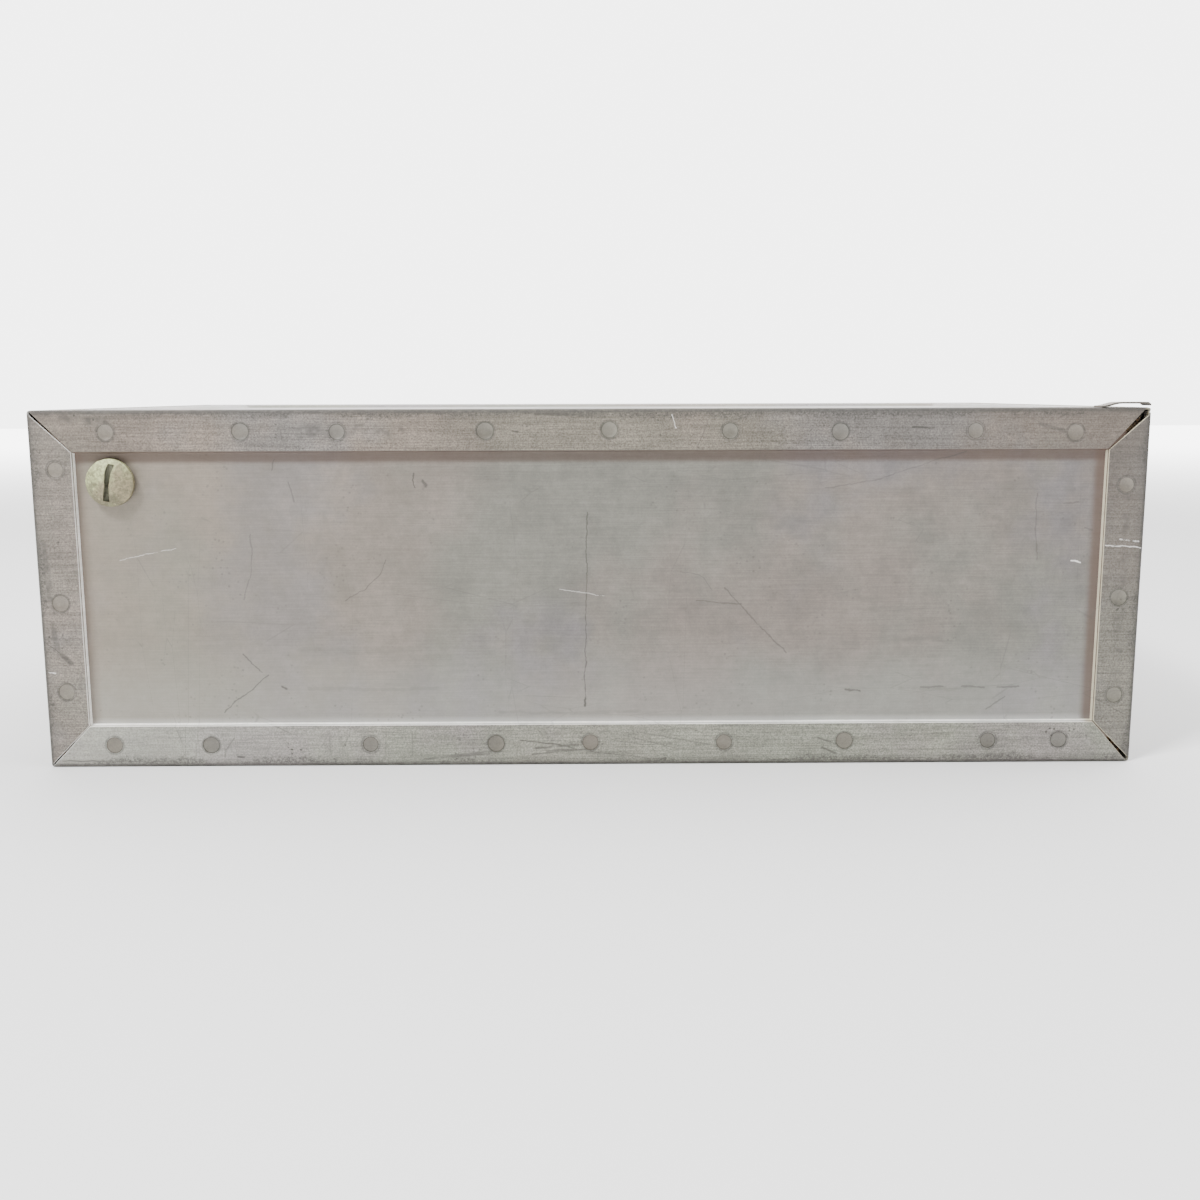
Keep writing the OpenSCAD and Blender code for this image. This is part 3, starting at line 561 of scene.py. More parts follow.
def ring_stain() -> bpy.types.NodeTree:
    """The burnt ring round a spot weld.

    Returns:
        A group with Place, Middle and Radius in, and Ring and Disc out.
    """
    graph, given, out = new_group(
        "ring_stain", {"Place": "vector", "Middle": "vector", "Radius": "number"},
        {"Ring": "number", "Disc": "number"})
    rough = graph.noise(given.outputs["Place"], 260.0, 4.0, 0.6)
    away = graph.vector("DISTANCE", given.outputs["Place"], given.outputs["Middle"])
    away = graph.math("ADD", away, graph.math(
        "MULTIPLY", graph.math("SUBTRACT", rough, 0.5), 0.0012))
    off = graph.math("ABSOLUTE", graph.math("SUBTRACT", away, given.outputs["Radius"]))
    ring = graph.math("MULTIPLY", graph.span(off, 0.0001, 0.0009, 1.0, 0.0),
                      graph.span(rough, 0.35, 0.6, 0.35, 1.0))
    graph.feed(out.inputs["Ring"], ring)
    graph.feed(out.inputs["Disc"], graph.math(
        "MULTIPLY", graph.span(away, graph.math("MULTIPLY", given.outputs["Radius"], 0.5),
                               given.outputs["Radius"], 1.0, 0.0), rough))
    return graph.tree


def stray_scratches() -> bpy.types.NodeTree:
    """Fine random scratches in two directions.

    Returns:
        A group with Place in, and Mask out.
    """
    graph, given, out = new_group("stray_scratches", {"Place": "vector"}, {"Mask": "number"})
    masks = []
    for turn, scale in (((0.3, 0.7, 0.5), (9.0, 9.0, 55.0)), ((0.9, -0.4, -0.9), (60.0, 8.0, 8.0)),
                        ((-0.5, 0.2, 0.35), (7.0, 52.0, 30.0))):
        turned = graph.add("ShaderNodeMapping", {
            "Vector": given.outputs["Place"], "Rotation": turn, "Scale": scale})
        lines = graph.cells(turned.outputs[0], 1.6, "DISTANCE_TO_EDGE")
        chance = graph.noise(turned.outputs[0], 0.9, 1.0)
        masks.append(graph.math("MULTIPLY", graph.span(lines, 0.0, 0.012, 1.0, 0.0),
                                graph.span(chance, 0.58, 0.66)))
    mask = graph.math("MAXIMUM", graph.math("MAXIMUM", masks[0], masks[1]), masks[2])
    graph.feed(out.inputs["Mask"], mask)
    return graph.tree


@dataclass
class Effects:
    """The shader groups that several finishes share, each built once."""

    brush: bpy.types.NodeTree = field(default_factory=brush_lines)
    grime_and_shade: bpy.types.NodeTree = field(default_factory=fold_grime_and_shade)
    stain: bpy.types.NodeTree = field(default_factory=sheet_stain)
    stroke: bpy.types.NodeTree = field(default_factory=stroke)
    ring: bpy.types.NodeTree = field(default_factory=ring_stain)
    scratches: bpy.types.NodeTree = field(default_factory=stray_scratches)


# The photograph's view


@dataclass(frozen=True)
class PhotoView:
    """The camera, and how a place in the 1200 pixel frame meets an upright plane."""

    focal: float = 1284.0
    frame: float = 1200.0
    eye: tuple[float, float, float] = (-1.7, -864.8, 207.8)
    pitch: float = 9.185
    yaw: float = 0.514
    roll: float = -0.16
    sensor: float = 36.0

    def turn(self) -> Matrix:
        """The camera's rotation."""
        aim = Euler((math.radians(90 - self.pitch), 0.0, math.radians(-self.yaw))).to_matrix()
        return aim @ Matrix.Rotation(math.radians(self.roll), 3, "Z")

    def on_plane(self, x: float, y: float, plane: float) -> Vector:
        """Where a place in the frame meets a plane that faces the front.

        Args:
            x: Pixels from the frame's left side.
            y: Pixels from its top.
            plane: The plane's y in the row frame, in millimetres.

        Returns:
            The point in metres.
        """
        ray = self.turn() @ Vector((x - self.frame / 2, self.frame / 2 - y, -self.focal))
        eye = Vector(self.eye)
        return (eye + ray * ((plane - eye.y) / ray.y)) * MM

    def build(self) -> None:
        """Adds the camera and makes it the scene's."""
        data = bpy.data.cameras.new("photo_view")
        data.sensor_width = self.sensor
        data.lens = self.focal / self.frame * self.sensor
        data.clip_end = 50.0
        camera = bpy.data.objects.new("photo_view", data)
        camera.matrix_world = Matrix.Translation(Vector(self.eye) * MM) @ self.turn().to_4x4()
        bpy.context.scene.collection.objects.link(camera)
        bpy.context.scene.camera = camera


VIEW = PhotoView()


class Tone(Enum):
    """What a mark does to the sheet."""

    DARK = "dark"
    PALE = "pale"


@dataclass(frozen=True)
class Mark:
    """A scratch or smear, as a line of places in the photograph's frame."""

    line: tuple[Spot, ...]
    width: float = 0.5
    strength: float = 0.7
    gaps: float = 0.35
    tone: Tone = Tone.DARK


PANEL_MARKS = (
    Mark(((587, 512), (586, 600), (585, 704)), 0.5, 0.75, 0.3),
    Mark(((585, 698), (585, 706)), 1.1, 0.9, 0.1),
    Mark(((243, 654), (262, 672)), 0.6, 0.7),
    Mark(((268, 676), (246, 694), (225, 712)), 0.6, 0.7, 0.3),
    Mark(((283, 686), (287, 688)), 1.1, 0.8, 0.1),
    Mark(((274, 459), (272, 470)), 0.6, 0.6),
    Mark(((288, 483), (291, 492), (293, 502)), 0.5, 0.55),
    Mark(((414, 473), (413, 480), (415, 487)), 0.8, 0.8, 0.2),
    Mark(((423, 482), (425, 486)), 1.3, 0.8, 0.1),
    Mark(((345, 600), (365, 590), (379, 576), (386, 560)), 0.5, 0.6),
    Mark(((680, 571), (700, 575), (712, 590)), 0.45, 0.45),
    Mark(((697, 601), (722, 603), (741, 604)), 0.6, 0.6),
    Mark(((725, 588), (741, 606), (764, 630), (786, 653)), 0.6, 0.6),
    Mark(((845, 689), (860, 691)), 0.8, 0.75, 0.2),
    Mark(((921, 687), (943, 687)), 0.8, 0.6, 0.3),
    Mark(((961, 687), (984, 687)), 0.8, 0.6, 0.3),
    Mark(((996, 687), (1019, 687)), 0.8, 0.6, 0.3),
    Mark(((986, 710), (1005, 696)), 0.5, 0.55),
    Mark(((904, 640), (930, 638), (951, 642)), 2.4, 0.22, 0.35),
    Mark(((825, 488), (852, 484), (880, 479)), 0.5, 0.5),
    Mark(((880, 479), (930, 462), (967, 451)), 0.5, 0.5, 0.4),
    Mark(((1037, 494), (1036, 530), (1037, 560)), 0.6, 0.5),
    Mark(((1064, 504), (1078, 502)), 0.6, 0.5),
    Mark(((1085, 528), (1092, 530)), 0.7, 0.5),
    Mark(((250, 535), (252, 560), (250, 580), (244, 600)), 0.5, 0.5),
    Mark(((300, 650), (360, 652), (420, 650)), 2.2, 0.16, 0.42),
    Mark(((310, 688), (380, 690), (440, 688)), 1.6, 0.18, 0.42),
    Mark(((500, 712), (560, 713), (640, 711)), 1.2, 0.2, 0.4),
    Mark(((900, 688), (960, 689)), 1.4, 0.2, 0.4),
    Mark(((1072, 560), (1080, 562)), 0.6, 0.95, 0.0, Tone.PALE),
    Mark(((835, 724), (846, 722)), 0.9, 0.9, 0.1, Tone.PALE),
    Mark(((560, 590), (604, 596)), 0.35, 0.4, 0.4, Tone.PALE),
    Mark(((120, 560), (176, 548)), 0.35, 0.4, 0.42, Tone.PALE),
)

STRIP_MARKS = {
    "top": (
        Mark(((62, 418), (84, 420), (104, 423)), 3.0, 0.8, 0.5),
        Mark(((300, 432), (350, 430), (410, 433)), 5.0, 0.7, 0.56),
        Mark(((536, 413), (572, 414)), 1.7, 0.9, 0.45),
        Mark(((578, 415), (606, 414)), 1.5, 0.8, 0.48),
        Mark(((640, 414), (690, 415)), 1.4, 0.7, 0.5),
        Mark(((909, 416), (928, 416)), 0.9, 0.9, 0.46),
        Mark(((913, 427), (934, 428)), 0.8, 0.9, 0.44),
        Mark(((1040, 424), (1056, 427), (1070, 433)), 1.3, 0.6, 0.4),
        Mark(((1046, 427), (1064, 429)), 0.9, 0.6, 0.4),
        Mark(((281, 430), (282, 442)), 0.4, 0.6, 0.2),
        Mark(((512, 431), (518, 432)), 0.9, 0.9, 0.2),
        Mark(((672, 415), (676, 428)), 0.4, 0.7, 0.2, Tone.PALE),
        Mark(((860, 412), (930, 412), (1000, 411)), 1.3, 0.6, 0.38),
    ),
    "bottom": (
        Mark(((425, 759), (490, 754)), 1.0, 0.75, 0.42),
        Mark(((440, 757), (498, 751)), 0.8, 0.7, 0.45),
        Mark(((520, 740), (548, 743), (574, 748)), 0.6, 0.8, 0.35),
        Mark(((536, 748), (578, 745)), 1.0, 0.75, 0.42),
        Mark(((548, 751), (586, 749)), 1.0, 0.7, 0.42),
        Mark(((533, 754), (566, 751)), 0.7, 0.7, 0.4),
        Mark(((818, 738), (830, 742)), 0.8, 0.75, 0.4),
        Mark(((822, 748), (836, 754)), 1.0, 0.8, 0.38),
        Mark(((62, 761), (168, 762)), 0.6, 0.75, 0.3),
        Mark(((238, 757), (244, 758)), 0.8, 0.9, 0.1),
        Mark(((612, 740), (642, 744), (672, 744)), 0.4, 0.5, 0.3),
        Mark(((590, 751), (632, 756), (662, 759)), 0.4, 0.6, 0.3),
        Mark(((330, 731), (331, 758)), 0.5, 0.35),
        Mark(((386, 731), (385, 758)), 0.5, 0.35),
        Mark(((412, 732), (413, 756)), 0.5, 0.35),
        Mark(((650, 737), (655, 752)), 0.5, 0.4),
    ),
    "left": (
        Mark(((47, 643), (58, 652), (71, 663)), 0.5, 0.85, 0.2),
        Mark(((62, 655), (66, 658), (71, 664)), 2.0, 0.8, 0.42),
        Mark(((49, 672), (56, 673)), 0.6, 0.7, 0.1, Tone.PALE),
        Mark(((44, 545), (50, 600), (58, 655)), 2.2, 0.7, 0.5),
    ),
    "right": (
        Mark(((1106, 545), (1124, 546), (1141, 548)), 0.45, 0.75, 0.3, Tone.PALE),
        Mark(((1120, 539), (1138, 541)), 0.8, 0.6, 0.45, Tone.PALE),
        Mark(((1128, 480), (1124, 560), (1116, 690)), 2.4, 0.55, 0.55),
    ),
}


# Finishes


@dataclass(frozen=True)
class EdgeBand:
    """A soft band of colour along one edge of a sheet, between two places on an axis."""

    axis: str
    full: float
    clear: float
    share: float
    colour: Colour = (0.11, 0.072, 0.055)

    def lay(self, graph: Graph, split: bpy.types.Node,
            colour: bpy.types.NodeSocket) -> bpy.types.NodeSocket:
        """Mixes the band into a colour; split holds the place's three parts."""
        rising = self.full > self.clear
        lo, hi = sorted((self.full, self.clear))
        mask = graph.span(split.outputs[self.axis], lo * MM, hi * MM,
                          0.0 if rising else self.share, self.share if rising else 0.0)
        return graph.mix(mask, colour, self.colour)


@dataclass(frozen=True)
class SheetFinish:
    """Dull aluminium sheet, brushed, stained and scratched."""

    name: str
    base: Colour = (0.268, 0.262, 0.226)
    warm: Colour = (0.302, 0.262, 0.228)
    cool: Colour = (0.268, 0.249, 0.247)
    dirt: Colour = (0.05, 0.047, 0.042)
    pale: Colour = (0.85, 0.83, 0.80)
    metal: float = 0.3
    roughness: float = 0.52
    grime_and_shade: float = 8.0
    pits: float = 0.4
    strays: float = 0.3
    shake: float = 4.0
    marks: tuple[Mark, ...] = ()
    marks_at: float = 0.0
    welds: tuple[Spot, ...] = ()
    bands: tuple[EdgeBand, ...] = ()
    brushed: float = 0.05
    grit: float = 0.05

    def material(self, effects: Effects) -> bpy.types.Material:
        """Builds the material.

        Args:
            effects: The shared shader groups.

        Returns:
            The new material.
        """
        material, graph, shader = new_material(self.name)
        place = graph.place()
        stain = graph.use(effects.stain, Place=place, Base=self.base, Warm=self.warm,
                          Cool=self.cool)
        lines = graph.use(effects.brush, Place=place).outputs["Lines"]
        tint = graph.math("MULTIPLY", graph.span(
            lines, 0.0, 1.0, 1 - self.brushed, 1 + self.brushed), graph.span(
                stain.outputs["Grit"], 0.25, 0.75, 1 - self.grit, 1 + self.grit))
        colour = graph.mix(1.0, stain.outputs["Colour"], graph.add(
            "ShaderNodeCombineXYZ", {"X": tint, "Y": tint, "Z": tint}).outputs[0], "MULTIPLY")
        # This mask holds real grime blotches and the painted shade line along the folds.
        grime_and_shade = graph.use(effects.grime_and_shade, Place=place, Reach=self.grime_and_shade * MM).outputs["Mask"]
        strays = graph.use(effects.scratches, Place=place).outputs["Mask"]
        dark = graph.math("MAXIMUM", graph.math("MULTIPLY", stain.outputs["Pits"], self.pits),
                          graph.math("MULTIPLY", grime_and_shade, 0.9))
        dark = graph.math("MAXIMUM", dark, graph.math("MULTIPLY", strays, self.strays))
        pale: bpy.types.NodeSocket | float = 0.0
        shake = graph.add("ShaderNodeTexNoise", {"Vector": place, "Scale": 95.0, "Detail": 3.0,
                                                 "Roughness": 0.65}).outputs["Color"]
        crooked = graph.vector("ADD", place, graph.scale(
            graph.vector("SUBTRACT", shake, (0.5, 0.5, 0.5)), self.shake * MM))
        flat = graph.vector("MULTIPLY", crooked, (1.0, 0.0, 1.0))
        broken = graph.math("MULTIPLY_ADD", graph.noise(place, 260.0, 2.0), 0.5, graph.math(
            "MULTIPLY", stain.outputs["Grit"], 0.5))
        split = graph.add("ShaderNodeSeparateXYZ", {"Vector": place})
        near = graph.math("LESS_THAN", graph.math("ABSOLUTE", graph.math(
            "SUBTRACT", split.outputs["Y"], self.marks_at * MM)), 1.6 * MM)
        for mark in self.marks:
            for start, end in zip(mark.line, mark.line[1:]):
                mask = graph.use(
                    effects.stroke, Place=flat, From=self.spot(start), To=self.spot(end),
                    Width=mark.width * MM, Break=mark.gaps * 0.9, Rough=broken).outputs["Mask"]
                mask = graph.math("MULTIPLY", graph.math("MULTIPLY", mask, mark.strength), near)
                if mark.tone is Tone.DARK:
                    dark = graph.math("MAXIMUM", dark, mask)
                else:
                    pale = graph.math("MAXIMUM", pale, mask)
        for a, z in self.welds:
            middle = CASE.point(a, 0.0, z)
            ring = graph.use(effects.ring, Place=place, Middle=tuple(middle), Radius=5.1 * MM)
            dark = graph.math("MAXIMUM", dark, graph.math(
                "MULTIPLY", ring.outputs["Ring"], 0.75))
            dark = graph.math("MAXIMUM", dark, graph.math(
                "MULTIPLY", ring.outputs["Disc"], 0.2))
        for band in self.bands:
            colour = band.lay(graph, split, colour)
        # The dark mask paints pits, grime, scratches, smears and weld rings in the dirt colour, and with
        # them the painted shade line along the folds.
        colour = graph.mix(graph.math("MULTIPLY", dark, 0.85), colour, self.dirt)
        colour = graph.mix(pale, colour, self.pale)
        rough = graph.span(stain.outputs["Cloud"], 0.3, 0.7, self.roughness - 0.06,
                           self.roughness + 0.08)
        rough = graph.math("ADD", rough, graph.math("MULTIPLY", dark, 0.25), clamp=True)
        height = graph.math("SUBTRACT", graph.math("MULTIPLY", lines, 0.25),
                            stain.outputs["Pits"])
        height = graph.math("ADD", height, graph.math(
            "MULTIPLY", stain.outputs["Cloud"], 0.6))
        graph.feed(shader.inputs["Base Color"], colour)
        graph.feed(shader.inputs["Roughness"], rough)
        graph.feed(shader.inputs["Metallic"], graph.math(
            "SUBTRACT", self.metal, graph.math("MULTIPLY", dark, 0.6), clamp=True))
        graph.feed(shader.inputs["Normal"], bump(graph, height, 0.00012, 0.5))
        return material

    def shaded(self, share: float) -> "SheetFinish":
        """The same finish with its three sheet colours lighter or darker."""
        base, warm, cool = (tuple(value * share for value in colour)
                            for colour in (self.base, self.warm, self.cool))
        return replace(self, base=base, warm=warm, cool=cool)

    def spot(self, place: Spot) -> tuple[float, float, float]:
        """A mark's end on the plane of this sheet, flattened to the plane y = 0."""
        point = VIEW.on_plane(*place, self.marks_at)
        return (point.x, 0.0, point.z)


def new_material(name: str) -> tuple[bpy.types.Material, Graph, bpy.types.Node]:
    """Starts a material and gives its graph and its Principled shader."""
    material = bpy.data.materials.new(name)
    material.use_nodes = True
    shader = material.node_tree.nodes["Principled BSDF"]
    return material, Graph(material.node_tree), shader


def bump(graph: Graph, height: object, depth: float, strength: float) -> bpy.types.NodeSocket:
    """A Bump node's normal for a height in units of depth metres."""
    return graph.add("ShaderNodeBump", {
        "Height": height, "Distance": depth, "Strength": strength}).outputs["Normal"]


@dataclass(frozen=True)
class CastFinish:
    """A grainy casting or a worn fitting, darker in its hollows."""

    name: str
    base: Colour
    stain: Colour
    dirt: Colour
    metal: float = 0.5
    roughness: float = 0.5
    grain: float = 900.0
    depth: float = 0.00018
    patch: float = 60.0
    middle: Colour = (0.0, 0.0, 0.0)
    grained: float = 0.15
    stain_and_shade_way: Colour = (0.0, 0.0, 0.0)
    soiled: Colour = (0.0, 0.0, 0.0)

    def material(self, effects: Effects) -> bpy.types.Material:
        """Builds the material; stain and dirt grow along their ways from the middle, and on the head the
        stain's way also paints shade on the side away from the light.
        """
        material, graph, shader = new_material(self.name)
        place = graph.place()
        off = graph.vector("SUBTRACT", place, self.middle)
        patch = graph.math("ADD", graph.noise(place, self.patch, 4.0, 0.6, 0.3),
                           graph.vector("DOT_PRODUCT", off, self.stain_and_shade_way))
        grain = graph.noise(place, self.grain, 4.0, 0.65)
        pits = graph.span(graph.cells(place, self.grain * 0.55), 0.12, 0.34, 1.0, 0.0)
        colour = graph.mix(graph.span(patch, 0.42, 0.66), self.base, self.stain)
        colour = graph.mix(graph.span(grain, 0.4, 0.62, self.grained, 0.0), colour, self.dirt)
        blotch = graph.math("ADD", graph.noise(
            graph.vector("ADD", place, (0.7, 0.2, 1.9)), self.patch * 2.2, 5.0, 0.7),
            graph.vector("DOT_PRODUCT", off, self.soiled))
        dirty = graph.math("MAXIMUM", graph.math("MULTIPLY", pits, graph.span(
            grain, 0.45, 0.65, 0.0, 0.8)), graph.span(blotch, 0.56, 0.72, 0.0, 0.6))
        colour = graph.mix(dirty, colour, self.dirt)
        strays = graph.use(effects.scratches, Place=place).outputs["Mask"]
        colour = graph.mix(graph.math("MULTIPLY", strays, 0.35), colour, self.dirt)
        graph.feed(shader.inputs["Base Color"], colour)
        graph.feed(shader.inputs["Roughness"], graph.span(
            grain, 0.3, 0.7, self.roughness - 0.1, self.roughness + 0.12))
        graph.feed(shader.inputs["Metallic"], graph.math(
            "SUBTRACT", self.metal, graph.math("MULTIPLY", dirty, self.metal * 0.8)))
        height = graph.math("SUBTRACT", grain, graph.math("MULTIPLY", pits, 0.5))
        graph.feed(shader.inputs["Normal"], bump(graph, height, self.depth, 0.6))
        return material


@dataclass(frozen=True)
class ZincFinish:
    """Tinned or zinc-coated inner sheet with soft crystals and milk-grey stains."""

    name: str = "liner_sheet"
    bright: Colour = (0.52, 0.53, 0.54)
    dull: Colour = (0.38, 0.39, 0.40)
    rust: Colour = (0.20, 0.12, 0.07)

    def material(self, effects: Effects) -> bpy.types.Material:
        """Builds the material from the shared effects."""
        material, graph, shader = new_material(self.name)
        place = graph.place()
        crystal = graph.cells(place, 75.0, output="Color")
        split = graph.add("ShaderNodeSeparateColor", {"Color": crystal})
        cloud = graph.noise(place, 14.0, 5.0, 0.6, 0.5)
        colour = graph.mix(split.outputs[0], self.dull, self.bright)
        colour = graph.mix(graph.span(cloud, 0.35, 0.7, 0.0, 0.6), colour, self.dull)
        specks = graph.math("MULTIPLY", graph.span(graph.cells(place, 160.0), 0.1, 0.25, 1.0, 0.0),
                            graph.span(graph.noise(place, 20.0, 3.0), 0.55, 0.72))
        colour = graph.mix(specks, colour, self.rust)
        strays = graph.use(effects.scratches, Place=place).outputs["Mask"]
        colour = graph.mix(graph.math("MULTIPLY", strays, 0.4), colour, self.dull)
        graph.feed(shader.inputs["Base Color"], colour)
        graph.feed(shader.inputs["Metallic"], graph.math(
            "SUBTRACT", 0.9, graph.math("MULTIPLY", specks, 0.8)))
        graph.feed(shader.inputs["Roughness"], graph.span(split.outputs[1], 0.0, 1.0, 0.3, 0.48))
        graph.feed(shader.inputs["Normal"], bump(graph, cloud, 0.0006, 0.4))
        return material


@dataclass(frozen=True)
class WoodFinish:
    """Bare softwood whose grain runs along one axis, black near the folds with grime and with the
    painted shade line of the folds.
    """

    name: str
    stretch: Colour
    early: Colour = (0.50, 0.34, 0.19)
    late: Colour = (0.27, 0.155, 0.075)
    dirt: Colour = (0.10, 0.075, 0.05)
    fold_dirt_and_shade: Colour = (0.012, 0.01, 0.008)

    def material(self, effects: Effects) -> bpy.types.Material:
        """Builds the material from the shared effects."""
        material, graph, shader = new_material(self.name)
        place = graph.place()
        along = graph.vector("MULTIPLY", place, self.stretch)
        wander = graph.noise(along, 3.0, 3.0, 0.5, 0.6)
        rings = graph.math("FRACT", graph.math("MULTIPLY", wander, 9.0))
        band = graph.span(rings, 0.1, 0.85)
        fibre = graph.noise(graph.scale(along, 9.0), 4.0, 3.0, 0.7)
        colour = graph.mix(band, self.early, self.late)
        colour = graph.mix(graph.span(fibre, 0.35, 0.7, 0.0, 0.4), colour, self.late)
        dirty = graph.span(graph.noise(place, 26.0, 4.0, 0.6), 0.5, 0.75, 0.0, 0.6)
        colour = graph.mix(dirty, colour, self.dirt)
        strays = graph.use(effects.scratches, Place=place).outputs["Mask"]
        colour = graph.mix(graph.math("MULTIPLY", strays, 0.3), colour, self.dirt)
        # Black near the folds: grime blotches, and the painted shade line along the folds.
        black = graph.use(effects.grime_and_shade, Place=place, Reach=44 * MM).outputs["Mask"]
        colour = graph.mix(black, colour, self.fold_dirt_and_shade)
        graph.feed(shader.inputs["Base Color"], colour)
        graph.feed(shader.inputs["Roughness"], graph.span(fibre, 0.2, 0.8, 0.62, 0.85))
        graph.feed(shader.inputs["Normal"], bump(graph, graph.math(
            "ADD", fibre, graph.math("MULTIPLY", band, -0.4)), 0.0003, 0.6))
        return material


@dataclass(frozen=True)
class CorkFinish:
    """Pressed granules of dark cork."""

    name: str = "cork_board"
    light: Colour = (0.23, 0.13, 0.065)
    dark: Colour = (0.035, 0.02, 0.012)

    def material(self) -> bpy.types.Material:
        """Builds the material."""
        material, graph, shader = new_material(self.name)
        place = graph.place()
        tone = graph.add("ShaderNodeSeparateColor", {
            "Color": graph.cells(place, 330.0, output="Color")}).outputs[0]
        seam = graph.span(graph.cells(place, 330.0, "DISTANCE_TO_EDGE"), 0.0, 0.12)
        colour = graph.mix(tone, self.dark, self.light)
        colour = graph.mix(seam, self.dark, colour)
        graph.feed(shader.inputs["Base Color"], colour)
        graph.feed(shader.inputs["Roughness"], graph.span(tone, 0.0, 1.0, 0.8, 0.95))
        graph.feed(shader.inputs["Normal"], bump(graph, seam, 0.0006, 0.7))
        return material


@dataclass(frozen=True)
class RubberFinish:
    """Old black rubber with a chalky bloom."""

    name: str = "seal_rubber"
    black: Colour = (0.028, 0.027, 0.026)
    bloom: Colour = (0.13, 0.125, 0.12)

    def material(self) -> bpy.types.Material:
        """Builds the material."""
        material, graph, shader = new_material(self.name)
        place = graph.place()
        cloud = graph.noise(place, 45.0, 5.0, 0.65)
        fine = graph.noise(place, 700.0, 3.0, 0.6)
        graph.feed(shader.inputs["Base Color"], graph.mix(
            graph.span(cloud, 0.45, 0.75, 0.0, 0.8), self.black, self.bloom))
        graph.feed(shader.inputs["Roughness"], graph.span(cloud, 0.3, 0.7, 0.55, 0.8))
        graph.feed(shader.inputs["Normal"], bump(graph, fine, 0.0001, 0.5))
        return material


# Corner strips


@dataclass(frozen=True)
class LegEnd:
    """A mitred end: the neighbour's width and the gaps at the mitre's outer and inner end."""

    neighbour: float = CASE.rail_side
    outer_gap: float = 0.3
    inner_gap: float = 0.3


@dataclass(frozen=True)
class Leg:
    """One leg of a strip, with its ends and its spot welds."""

    width: float
    start: LegEnd = LegEnd()
    end: LegEnd = LegEnd()
    welds: tuple[Spot, ...] = ()
    wave: float = 0.12


def even_welds(length: float, count: int) -> tuple[Spot, ...]:
    """Weld marks spread along a leg, a little uneven."""
    return tuple((length * (i + 0.5) / count + 3 * math.sin(math.radians(i * 137)), 11.6)
                 for i in range(count))


class Way(Enum):
    """Which way a strip lies."""

    ACROSS = "across"
    DEEP = "deep"
    UPRIGHT = "upright"


